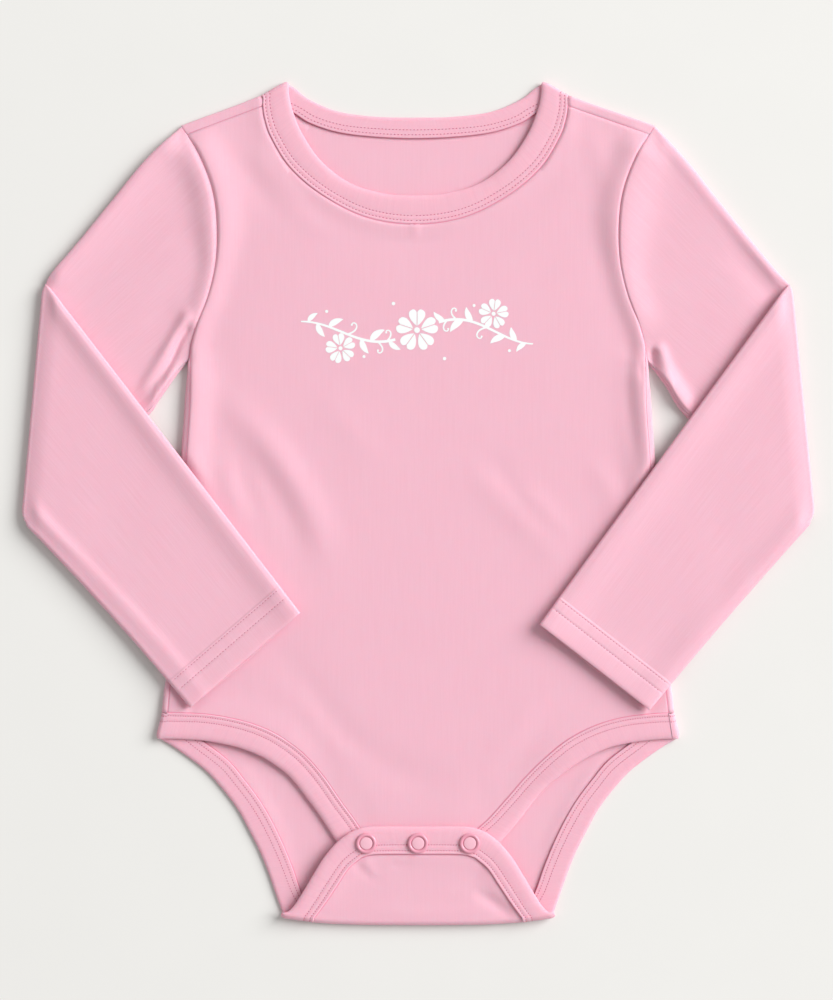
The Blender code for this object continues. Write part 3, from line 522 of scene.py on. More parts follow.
@dataclass(frozen=True)
class FrontRelief:
    """Height of the front layer's middle surface, lips of the back panel included."""

    swell: float = 0.35
    rise_at_leg: float = 30.0
    rise_at_neck: float = 34.0
    rise_at_side: float = 26.0
    calm_at_neck: float = 10.0
    beside_forearm: Pair = (-5.0, 6.0)  # depth where the relief starts to flatten, over what
    arm_rolls_from: Pair = (62.0, 20.0)  # height where they take over from the side's
    leg_rolls_from: Pair = (42.0, 26.0)
    neck_from: float = 135.0
    middle_strip: float = 20.0  # no armhole, side or leg is nearer the middle
    arm_rolls: tuple[Roll, Roll] = (Roll(2.7, 1.8, 9.5, 2.2), Roll(3.2, 1.1, 8.6, 1.7))
    side_rolls: tuple[Roll, Roll] = (Roll(2.9, 4, 9, 3.2), Roll(3.2, 4, 9, 3.2))
    leg_rolls: tuple[Roll, Roll] = (Roll(1.1, 0, 10), Roll(0.9, 0, 8))
    neck_roll: Roll = Roll(0.75, 0, 6)
    arm_ditch: Ditch = Ditch(0.24, 0.42)
    side_ditch: Ditch = Ditch(0.18, 0.5)
    shoulder_ditch: Ditch = Ditch(0.32, 0.5)
    neck_ditch: Ditch = Ditch(0.2, 0.4)
    creases: Creases = creases(
        (((-100, 56), (-88, 43), (-74, 27), (-60, 6), (-51, -12), (-46, -30)), 8, 1.5),
        (((-92, 34), (-76, 12), (-65, -8), (-58, -30)), 6.5, -0.55),
        (((-100, 22), (-94, 4), (-86, -12)), 5, 0.5),
        (((-93, 30), (-88, 10), (-80, -8)), 5, -0.4),
        (((-53, 60), (-36, 40), (-18, 18)), 8, 0.35),
        (((26, 18), (44, 0), (62, -18), (74, -34)), 7, 0.55),
        (((46, 14), (62, 0), (78, -18)), 5, 0.5),
        (((34, 26), (46, 12), (56, 0)), 5, -0.35),
        (((88, 22), (98, 6), (104, -14)), 6, 0.5),
        (((-74, -70), (-58, -92), (-30, -128), (20, -146)), 9, -0.7),
        (((-64, -92), (-42, -122), (-14, -140)), 7, 0.55),
        (((34, -126), (52, -112), (60, -96)), 7, 0.35),
        (((-84, 184), (-72, 166), (-56, 152)), 5.5, 0.55),
        (((-92, 178), (-80, 160), (-64, 144)), 6, -0.45),
        (((-78, 160), (-62, 148), (-40, 136)), 6, 0.35),
        (((88, 190), (92, 178), (94, 160)), 6, 0.4),
        (((108, 84), (107, 60), (110, 34), (113, 12)), 4, -0.7),
        (((113, 74), (114, 66), (114, 60)), 1.6, -0.5),
        (((-60, -150), (-40, -160), (-20, -163)), 5, -0.35),
        (((30, -140), (34, -152), (30, -160)), 5, -0.35),
    )

    def at(self, points: Array) -> Array:
        """Middle height of the front layer at each plan point."""
        out = np.abs(points[:, 0])
        neck = sorted(CUT.neck_front_seam[2:] + CUT.shoulder_seam_spots)
        over_leg = ease((points[:, 1] - CUT.leg_height(points)) / self.rise_at_leg)
        below_neck = np.interp(np.abs(points[:, 0] - CUT.neck_centre), *zip(*neck)) - points[:, 1]
        under_neck = ease(below_neck / self.rise_at_neck)
        inside = ease((CUT.edge_out(points[:, 1]) - out) / self.rise_at_side)
        height = CUT.front_mid + self.swell * over_leg * under_neck * inside
        calm = over_leg * ease(below_neck / self.calm_at_neck)
        relief = self.edges(points, over_leg)
        for crease in self.creases:
            relief += calm * crease.lift(points)
        for place in (FOREARM_LEFT, FOREARM_RIGHT):
            relief *= 1.0 - ramp(place.depth_under(points), *self.beside_forearm)
        return height + relief

    def edges(self, points: Array, over_leg: Array) -> Array:
        """Rolls and ditches along armholes, sides, shoulders, neck and legs."""
        total = np.zeros(len(points))
        rolls = zip(Side, self.arm_rolls, self.side_rolls, self.leg_rolls)
        for side, arm_roll, side_roll, leg_roll in rolls:
            here = points[:, 0] * side.value > self.middle_strip
            near = points[here]
            away, along = nearest(near, on_side(CUT.armhole(), side))
            strength = ALLOWANCE.strength(along)
            on_arm = ramp(near[:, 1], *self.arm_rolls_from)
            lift = on_arm * strength * arm_roll.lift(away / ALLOWANCE.width(along))
            lift += ALLOWANCE.ditch(strength) * self.arm_ditch.lift(away)
            inside = CUT.edge_out(near[:, 1]) - np.abs(near[:, 0])
            lift += (1.0 - on_arm) * over_leg[here] * side_roll.lift(inside)
            lift += self.side_ditch.lift(nearest(near, on_side(CUT.side_seam(), side))[0])
            lift += self.shoulder_ditch.lift(nearest(near, CUT.with_neck(CUT.shoulder_seam(), side))[0])
            leg = on_side(CUT.leg_front(side)[0], side)
            lift += leg_roll.lift(nearest(near, leg)[0]) * ramp(np.abs(near[:, 0]), *self.leg_rolls_from)
            total[here] += lift
        for side in Side:
            on_half = points[:, 0] * side.value > CUT.neck_centre * side.value - 1.0
            here = (points[:, 1] > self.neck_from) & on_half
            seam = CUT.neck_line(CUT.neck_front_seam[1:], side, STEPS // 2)
            away = nearest(points[here], seam)[0]
            total[here] += self.neck_ditch.lift(away) + self.neck_roll.lift(away)
        return total


FRONT = FrontRelief()


# -------- colour and finish
def linear(code: str) -> tuple[float, float, float, float]:
    """An sRGB hex colour as linear red, green, blue and alpha."""
    values = [int(code[place:place + 2], 16) / 255.0 for place in (0, 2, 4)]
    lights = [value / 12.92 if value <= 0.04045 else ((value + 0.055) / 1.055) ** 2.4 for value in values]
    return (*lights, 1.0)


def add_node(tree: NodeTree, kind: str, links: dict | None = None, **settings: object) -> Node:
    """Add a node.

    Args:
        tree: the node tree.
        kind: the node's type, such as "ShaderNodeBump".
        links: input name or index to a value, or to the output socket that feeds it.
        settings: the node's own properties.
    Returns:
        The new node.
    """
    node = tree.nodes.new(kind)
    for name, value in settings.items():
        setattr(node, name, value)
    for name, value in (links or {}).items():
        if isinstance(value, NodeSocket):
            tree.links.new(value, node.inputs[name])
        else:
            node.inputs[name].default_value = value
    return node


def new_material(name: str) -> tuple[Material, NodeTree]:
    """An empty node material and its tree."""
    material = bpy.data.materials.new(name)
    material.use_nodes = True
    material.node_tree.nodes.clear()
    return material, material.node_tree


@dataclass(frozen=True)
class JerseyFinish:
    """Fine combed-cotton single jersey, dyed and lightly brushed: matt, with faint upright wales."""

    name: str
    colour: str
    shade: str
    wale: float = 0.8  # a little wider than the real 0.7, which is too fine to show
    streak: float = 26.0  # length of a wale's uneven stretches
    fuzz: float = 0.7142857  # loose fibres, drawn as coarse as a stitch so that they show
    mottle: Pair = (35.714286, 55.555556)  # patches of the dye, across and along
    relief: float = 0.03
    wale_weight: float = 1.8
    mottle_weight: float = 0.4
    contrast: float = 0.45  # half the tone's range that goes from shade to colour
    roughness: float = 0.74
    specular: float = 0.25
    glow: float = 0.42
    glow_reach: float = 1.1
    glow_spread: tuple[float, float, float] = (1.0, 0.32, 0.42)

    def build(self) -> Material:
        """The finish as a material that reads the piece's own UV map, in metres, wales along V."""
        material, tree = new_material(self.name)
        place = add_node(tree, "ShaderNodeTexCoord").outputs["UV"]
        patterns = []
        for size, detail, roughness in (((self.wale, self.streak), 2.0, 0.6),
                                        ((self.fuzz, self.fuzz), 3.0, 0.65), (self.mottle, 2.0, 0.5)):
            scaled = add_node(tree, "ShaderNodeMapping", {
                "Vector": place, "Scale": (1.0 / (size[0] * MM), 1.0 / (size[1] * MM), 1.0)})
            noise = add_node(tree, "ShaderNodeTexNoise", {
                "Vector": scaled.outputs["Vector"], "Scale": 1.0, "Detail": detail, "Roughness": roughness},
                noise_dimensions="2D")
            patterns.append(noise.outputs["Fac"])
        streaks, fuzz, mottle = patterns
        yarn = add_node(tree, "ShaderNodeMath", {
            0: streaks, 1: self.wale_weight, 2: fuzz}, operation="MULTIPLY_ADD")
        tone = add_node(tree, "ShaderNodeMath", {
            0: mottle, 1: self.mottle_weight, 2: yarn.outputs["Value"]}, operation="MULTIPLY_ADD")
        middle = (self.wale_weight + self.mottle_weight + 1.0) / 2
        share = add_node(tree, "ShaderNodeMapRange", {
            "Value": tone.outputs["Value"], "From Min": middle - self.contrast,
            "From Max": middle + self.contrast, "To Min": 0.0, "To Max": 1.0})
        colour = add_node(tree, "ShaderNodeMix", {
            "Factor": share.outputs["Result"], 6: linear(self.shade), 7: linear(self.colour)},
            data_type="RGBA")
        bump = add_node(tree, "ShaderNodeBump", {
            "Height": yarn.outputs["Value"], "Strength": 0.35, "Distance": self.relief * MM})
        shader = add_node(tree, "ShaderNodeBsdfPrincipled", {
            "Base Color": colour.outputs[2], "Normal": bump.outputs["Normal"], "Roughness": self.roughness,
            "Specular IOR Level": self.specular, "Subsurface Weight": self.glow,
            "Subsurface Scale": self.glow_reach * MM, "Subsurface Radius": self.glow_spread})
        add_node(tree, "ShaderNodeOutputMaterial", {"Surface": shader.outputs["BSDF"]})
        return material


@dataclass(frozen=True)
class PlainFinish:
    """A faintly uneven finish, read from Object coordinates: thread, painted seam shade, enamel, ink or
    paper.
    """

    name: str
    colour: str
    shade: str
    grain: float
    roughness: float
    relief: float = 0.0
    coat: float = 0.0
    coat_roughness: float = 0.12
    specular: float = 0.5

    def build(self) -> Material:
        """The finish as a material."""
        material, tree = new_material(self.name)
        place = add_node(tree, "ShaderNodeTexCoord").outputs["Object"]
        noise = add_node(tree, "ShaderNodeTexNoise", {
            "Vector": place, "Scale": 1.0 / (self.grain * MM), "Detail": 2.0})
        colour = add_node(tree, "ShaderNodeMix", {
            "Factor": noise.outputs["Fac"], 6: linear(self.shade), 7: linear(self.colour)},
            data_type="RGBA")
        settings = {
            "Base Color": colour.outputs[2], "Roughness": self.roughness, "Coat Weight": self.coat,
            "Coat Roughness": self.coat_roughness, "Specular IOR Level": self.specular}
        if self.relief:
            bump = add_node(tree, "ShaderNodeBump", {
                "Height": noise.outputs["Fac"], "Strength": 0.5, "Distance": self.relief * MM})
            settings["Normal"] = bump.outputs["Normal"]
        shader = add_node(tree, "ShaderNodeBsdfPrincipled", settings)
        add_node(tree, "ShaderNodeOutputMaterial", {"Surface": shader.outputs["BSDF"]})
        return material


def made_as(finish: JerseyFinish | PlainFinish) -> Material:
    """A field of the wardrobe that is built from this finish."""
    return field(default_factory=finish.build)


@dataclass
class Wardrobe:
    """The garment's finishes, built once."""

    # matt and soft, with stripes that only just show
    jersey: Material = made_as(JerseyFinish("combed cotton jersey", "F0BACA", "EEB7C7"))
    # the same, eased along the arm so that the wales part a little
    sleeve: Material = made_as(
        JerseyFinish("combed cotton jersey, stretched wales", "F1BCCC", "EDB5C5"))
    # the same, pulled round a fold with its wales across
    binding: Material = made_as(
        JerseyFinish("folded jersey binding", "F0B9C9", "ECB4C5", wale=0.9))
    # deeper than the cloth, with the dull gleam of twisted fibres
    thread: Material = made_as(PlainFinish("spun polyester thread", "D2758F", "C86A86", 0.6, 0.6))
    # painted seam shade: a fine matt line of deeper pink, as deep as cloth is in the shade of a fold
    seam: Material = made_as(
        PlainFinish("painted seam shade", "E891A9", "E389A2", 1.5, 0.8))
    # even and glossy, with one small highlight
    enamel: Material = made_as(
        PlainFinish("enamelled ring snap", "E9A1B5", "E497AC", 4.0, 0.28, coat=0.4))
    # matt like the body, on a hard dome
    disc: Material = made_as(
        PlainFinish("cloth-covered snap disc", "F0BAC9", "EDB5C5", 1.5, 0.6, 0.02))
    # a thin opaque film that lets the knit's unevenness through
    ink: Material = made_as(
        PlainFinish("screen-printed white ink", "F8FAFA", "F1F3F3", 1.2, 0.55, 0.02))


# -------- making pieces
def fill_grid(maker: BMesh, rows: Array) -> None:
    """A grid whose vertices are moved to these rows of points, in millimetres."""
    up, across = rows.shape[0] - 1, rows.shape[1] - 1
    grid = bmesh.ops.create_grid(maker, x_segments=across, y_segments=up, size=1.0)
    for vertex, point in zip(grid["verts"], rows.reshape(-1, 3) * MM):
        vertex.co = point


def map_uv(mesh: Mesh, places: Array) -> None:
    """Give the mesh a UV map from one place, in metres, for each vertex."""
    layer = mesh.uv_layers.new(name="cloth")
    corner = np.empty(len(mesh.loops), dtype=np.int32)
    mesh.loops.foreach_get("vertex_index", corner)
    layer.data.foreach_set("uv", places[corner].astype(np.float32).ravel())


def placed(name: str, data: ID) -> Object:
    """A new object of the scene that holds this mesh, light or camera."""
    thing = bpy.data.objects.new(name, data)
    bpy.context.scene.collection.objects.link(thing)
    return thing


def add_wall(piece: Object) -> None:
    """Give a surface the cloth's thickness, half to each side."""
    wall = piece.modifiers.new("wall", "SOLIDIFY")
    wall.thickness = CUT.cloth * MM
    wall.offset = 0.0


def finish_piece(maker: BMesh, name: str, material: Material,
                 replaces: Sequence[str] = ()) -> Object:
    """Turn a bmesh into a named piece of the garment.

    Args:
        maker: the bmesh, which is freed.
        name: the piece's name.
        material: its finish.
        replaces: solids that it stands for.
    Returns:
        The piece's object.
    """
    bmesh.ops.recalc_face_normals(maker, faces=maker.faces)
    mesh = bpy.data.meshes.new(name)
    maker.to_mesh(mesh)
    maker.free()
    mesh.shade_smooth()
    mesh.materials.append(material)
    piece = placed(name, mesh)
    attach(piece, BODY)
    if replaces:
        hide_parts(*replaces)
    log.info("%s: %d faces", name, len(mesh.polygons))
    return piece


def cloth_piece(name: str, sheets: Sequence[Array], material: Material, node: str) -> Object:
    """One cut piece of jersey: sheets of its middle surface joined where they meet, with a thin wall.

    Args:
        name: the piece's name.
        sheets: grids of points in millimetres.
        material: its finish.
        node: the solid that it stands for.
    Returns:
        The piece's object, its wales upright in plan.
    """
    maker = bmesh.new()
    for rows in sheets:
        fill_grid(maker, rows)
    bmesh.ops.remove_doubles(maker, verts=maker.verts, dist=0.02 * MM)
    piece = finish_piece(maker, name, material, [node])
    places = np.empty(len(piece.data.vertices) * 3, dtype=np.float32)
    piece.data.vertices.foreach_get("co", places)
    places = places.reshape(-1, 3)
    map_uv(piece.data, places[:, :2])
    add_wall(piece)
    return piece


def tube_piece(name: str, grid: Array, reached: Sequence[Array], material: Material,
               nodes: Sequence[str], by_row: bool) -> Object:
    """A tube or strip from a grid of rings, with its own UV map; a strip's ends are closed.

    Args:
        name: the piece's name.
        grid: rings of points in millimetres, each closed on itself.
        reached: distance round the rings by column, then along the rings by row.
        material: its finish.
        nodes: the solids that it stands for.
        by_row: True for a strip, whose wales go across it, False for a tube with wales along it.
    Returns:
        The piece's object.
    """
    maker = bmesh.new()
    fill_grid(maker, grid)
    maker.verts.index_update()
    layer = maker.loops.layers.uv.new("cloth")
    across, along = reached
    for face in maker.faces:
        for loop in face.loops:
            row, column = divmod(loop.vert.index, grid.shape[1])
            place = (across[column] * MM, along[row] * MM)
            loop[layer].uv = place[::-1] if by_row else place
    bmesh.ops.remove_doubles(maker, verts=maker.verts, dist=0.01 * MM)
    if by_row:
        ends = [edge for edge in maker.edges if edge.is_boundary]
        for edge in ends:
            edge.smooth = False
        bmesh.ops.holes_fill(maker, edges=ends)
    return finish_piece(maker, name, material, nodes)


def half_turn(spots: Array, directions: Array, start: Array, end: Array, turned: Array,
              reach: Array | float | None = None) -> Array:
    """Points of half turns round spots, from a start height to an end height.

    Args:
        spots: plan points that are turned round.
        directions: the way each turn bulges.
        start: height that each turn leaves from.
        end: height that it comes to.
        turned: shares of the half turn, 0 to 1.
        reach: how far each bulges; half its height if left out.
    Returns:
        Points by spot and share.
    """
    start, end = (np.broadcast_to(np.asarray(height, float), len(spots)) for height in (start, end))
    middle = (start + end) / 2
    bulge = np.abs(end - start) / 2 if reach is None else np.broadcast_to(reach, len(spots))
    out = bulge[:, None] * np.sin(math.pi * turned)[None, :]
    height = middle[:, None] + (start - middle)[:, None] * np.cos(math.pi * turned)[None, :]
    plan = spots[:, None, :] + out[..., None] * directions[:, None, :]
    return np.concatenate([plan, height[..., None]], axis=2)


def patch(left: Array, right: Array, bottom: Array, top: Array, u: Array, hold: float = 2.2) -> Array:
    """Rows of plan points that fill the space between four lines, as a stretched sheet would."""
    v = np.linspace(0.0, 1.0, len(left))[:, None, None]
    base = (1 - v) * bottom[None] + v * top[None]
    off_left = left - ((1 - v[:, 0]) * bottom[0] + v[:, 0] * top[0])
    off_right = right - ((1 - v[:, 0]) * bottom[-1] + v[:, 0] * top[-1])
    plan = base.copy()
    plan[..., 0] += (1 - u) * off_left[:, 0:1] + u * off_right[:, 0:1]
    plan[..., 1] += (1 - u) ** hold * off_left[:, 1:2] + u ** hold * off_right[:, 1:2]
    return plan


def raised(plan: Array, height: Callable[[Array], Array]) -> Array:
    """Plan rows lifted to the height of a surface."""
    return np.concatenate([plan, height(plan.reshape(-1, 2)).reshape(plan.shape[:2])[..., None]], axis=2)


@dataclass(frozen=True)
class Weave:
    """How finely the panels are divided."""

    shoulder: int = 34
    neck: int = 34
    leg: int = 66
    side: int = 84
    arm: int = 34
    yoke: int = 34
    crowd: float = 0.72

    def across(self) -> Array:
        """Shares across a panel, crowded at both side edges."""
        return crowded(2 * (self.shoulder + self.neck), self.crowd, self.crowd)


@dataclass
class Panel:
    """What the front and back panels share: a body block and two blocks that run up beside the neck."""

    weave: Weave = field(default_factory=Weave)
    neck_corner: int = 3  # spot of the neck seam where its steep stretch ends

    def plans(self, sides: Sequence[Array], bottom: Array, armholes: Sequence[Array],
              shoulders: Sequence[Array], necks: Sequence[Array]) -> list[Array]:
        """Plans of the blocks.

        Args:
            sides: left and right side lines, from the bottom up to the yoke.
            bottom: the lowest line, from left to right.
            armholes: left and right armhole lines, from the yoke up to the shoulder.
            shoulders: left and right dense shoulder lines, from the armhole to the neck.
            necks: left and right neck seams, steep stretch and shallow stretch, from the shoulder.
        """
        u = self.weave.across()
        first = self.weave.shoulder
        on_yoke = u[:first + 1] / u[first]
        on_neck = (u[first:first + self.weave.neck + 1] - u[first]) / (0.5 - u[first])
        plans = []
        across = []
        for arm, shoulder, (steep, shallow) in zip(armholes, shoulders, necks):
            corner = shallow[0]
            yoke = arm[0] + (corner - arm[0]) * on_yoke[:, None]
            neck_side = at_shares(steep, np.linspace(1.0, 0.0, len(arm)))
            plans.append(patch(arm, neck_side, yoke, at_shares(shoulder, on_yoke), on_yoke))
            across.append(np.vstack([yoke, at_shares(shallow, on_neck)[1:]]))
        top = np.vstack([across[0], across[1][::-1][1:]])
        plans.append(patch(sides[0], sides[1], bottom, top, u))
        return plans

    def neck(self, spots: Spots, side: Side) -> TwoLines:
        """Steep and shallow stretches of a neck seam, from the shoulder, on one side."""
        line = CUT.neck_line(spots, side)
        corner = STEPS * self.neck_corner
        return line[:corner + 1], line[corner:]


@dataclass
class FrontPanel(Panel):
    """The front, from the end of the crotch tab up to the shoulder seams, neck and armholes."""

    cut_width: float = 252.0
    cut_length: float = 384.0

    def build(self, finishes: Wardrobe) -> Object:
        """Make the front panel."""
        weave = self.weave
        shoulder_mark, yoke_mark, side_mark = CUT.armhole_marks()
        sides = []
        armholes = []
        for side in Side:
            arm = on_side(CUT.armhole(), side)
            leg = at_shares(on_side(CUT.leg_front(side)[0], side), np.linspace(1, 0, weave.leg + 1))
            seam = at_shares(on_side(CUT.side_seam(), side), np.linspace(1, 0, weave.side + 1))
            rest = at_distances(arm, np.linspace(side_mark, yoke_mark, weave.arm + 1))
            sides.append(np.vstack([leg, seam[1:], rest[1:]]))
            armholes.append(at_distances(arm, np.linspace(yoke_mark, shoulder_mark, weave.yoke + 1)))
        tab = CUT.leg_front_seam_right[-1].out
        u = weave.across()
        bottom = np.column_stack([tab * (2 * u - 1), np.full(len(u), CUT.tab_end)])
        shoulders = [CUT.with_neck(CUT.shoulder_seam(), side) for side in Side]
        necks = [self.neck(CUT.neck_front_seam[1:], side) for side in Side]
        plans = self.plans(sides, bottom, armholes, shoulders, necks)
        piece = cloth_piece("front_cloth", [raised(plan, FRONT.at) for plan in plans], finishes.jersey,
                            "front_panel")
        return piece


@dataclass
class BackPanel(Panel):
    """The back, with its lips over the shoulders and sides and the flap folded up over the front."""

    notch: Pair = (0.3, -0.95)  # way that the side turns at its notch under the arm
    notch_runs_out: float = 6.0  # it has swung square to the side after 1/6 of its length
    turn: int = 8
    lip: int = 5
    flap_rows: int = 30
    cut_width: float = 262.0
    cut_length: float = 452.0
    flap_creases: Creases = (
        Crease(((-33, -181), (-27, -187), (-18, -193)), 3, -0.4, Fade.TOWARDS_END),
        Crease(((-26, -183), (-21, -190)), 2.5, 0.35, Fade.TOWARDS_END),
        Crease(((34, -184), (28, -190), (16, -196)), 3, -0.4, Fade.TOWARDS_END),
        Crease(((-14, -181), (-10, -184), (-2, -182)), 2, -0.25),
        Crease(((-30, -206), (0, -208), (32, -206)), 4, 0.3),
        *both_sides(Crease(((50, -207), (43.5, -197.5), (36.5, -187), (27, -181)), 5, 0.55,
                           sharpness=0.35)),
        Crease(((26, -180.5), (0, -179.5), (-26, -180.5)), 4.5, 0.5, sharpness=0.35),
        Crease(((28, -196.5), (39, -203), (49, -209.5)), 3.4, -0.9),
    )
    inside_creases: Creases = (
        Crease(((-60, 180), (-30, 172), (10, 170)), 9, 0.12),
        *both_sides(Crease(((-90, -134), (-80, -150), (-72, -168)), 6, 0.15)),
        *both_sides(Crease(((-92, -132), (-80, -151), (-72.5, -164), (-66, -180)), 4, 0.5,
                           sharpness=0.35)),
    )

    def build(self, finishes: Wardrobe) -> Object:
        """Make the back panel."""
        weave = self.weave
        _, yoke_mark, _ = CUT.armhole_marks()
        sides = []
        armholes = []
        for side in Side:
            arm = on_side(CUT.armhole(), side)
            axis = at_shares(on_side(CUT.side_axis(), side), np.linspace(1, 0, weave.side + 1))
            leg = on_side(smooth_line(CUT.leg_back_seam), side)
            leg = at_shares(leg, np.linspace(1, 0, weave.leg + 1))
            leg[-1] = axis[0]
            rest = at_distances(arm, np.linspace(travelled(arm)[-1], yoke_mark, weave.arm + 1))
            sides.append(np.vstack([leg, axis[1:], rest[1:]]))
            armholes.append(at_distances(arm, np.linspace(yoke_mark, 0.0, weave.yoke + 1)))
        u = weave.across()
        shoulders = [CUT.with_neck(CUT.shoulder_axis(), side) for side in Side]
        necks = [self.neck(CUT.neck_back_seam, side) for side in Side]
        plans = self.plans(sides, CUT.crotch_axis(u), armholes, shoulders, necks)
        sheets = [raised(plan, self.inside) for plan in plans]
        sheets += [self.crotch_turn(u), self.flap(u)]
        for side in Side:
            sheets += [self.side_lip(side), self.shoulder_lip(side)]
        piece = cloth_piece("back_cloth", sheets, finishes.jersey, "back_panel")
        return piece

    def inside(self, points: Array) -> Array:
        """Middle height of the back layer: flat where it rests, barely uneven where it shows."""
        return creased(CUT.back_mid, self.inside_creases, points)

    def crotch_turn(self, u: Array) -> Array:
        """Rows of the turn at the crotch fold."""
        axis = CUT.crotch_axis(u)
        turned = evenly(2 * self.turn)
        outward = CUT.crotch_direction(axis[:, 0])
        return half_turn(axis, outward, CUT.back_mid, self.flap_height(axis), turned).transpose(1, 0, 2)

    def flap_height(self, points: Array) -> Array:
        """Middle height of the flap."""
        return creased(CUT.flap_mid, self.flap_creases, points)

    def flap(self, u: Array) -> Array:
        """Rows of the flap from the crotch fold up to its top seam."""
        rows = evenly(self.flap_rows)
        seams = [at_shares(on_side(smooth_line(CUT.flap_seam), side), rows) for side in Side]
        half = at_shares(to_middle(CUT.flap_top_seam), u[:len(u) // 2 + 1] * 2)
        top = np.vstack([on_side(half, Side.LEFT), on_side(half, Side.RIGHT)[::-1][1:]])
        return raised(patch(seams[0], seams[1], CUT.crotch_axis(u), top, u), self.flap_height)

    def lip_rows(self, axis: Array, directions: Array, seam: Array) -> Array:
        """Rows that turn over an edge and come forward to a seam of the front."""
        inward = unit(seam - axis)
        end = seam - CUT.seam_gap * inward
        high = FRONT.at(axis)
        reach = np.minimum((high - CUT.back_mid) / 2, CUT.turn_reach)
        turned = half_turn(axis, directions, CUT.back_mid, high, evenly(self.turn), reach)
        steps = crowded(self.lip, 0.0, 0.7)[1:]
        plan = axis[:, None, :] + (end - axis)[:, None, :] * steps[None, :, None]
        return np.concatenate([turned, raised(plan, FRONT.at)], axis=1)

    def side_lip(self, side: Side) -> Array:
        """The lip along one side, from under the arm to the leg."""
        shares = evenly(self.weave.side)
        axis = at_shares(on_side(CUT.side_axis(), side), shares)
        seam = at_shares(on_side(CUT.side_seam(), side), shares)
        outward = aside_of(axis) * side.value
        notch = unit(np.array([self.notch[0] * side.value, self.notch[1]]))
        blend = ease(shares * self.notch_runs_out)[:, None]
        return self.lip_rows(axis, unit((1 - blend) * notch + blend * outward), seam)

    def shoulder_lip(self, side: Side) -> Array:
        """The lip over one shoulder, from the armhole to the neck."""
        u = self.weave.across()
        shares = u[:self.weave.shoulder + 1] / u[self.weave.shoulder]
        axis = at_shares(CUT.with_neck(CUT.shoulder_axis(), side), shares)
        seam = at_shares(CUT.with_neck(CUT.shoulder_seam(), side), shares)
        arm = on_side(CUT.armhole(), side)
        start = unit(arm[0] - at_distances(arm, [CUT.shoulder_lip])[0])
        fold = on_side([CUT.neck_front_seam[0], CUT.neck_front_edge[0]], side, CUT.neck_centre)
        end = outward_of(*fold, side)
        return self.lip_rows(axis, unit((1 - shares)[:, None] * start + shares[:, None] * end), seam)


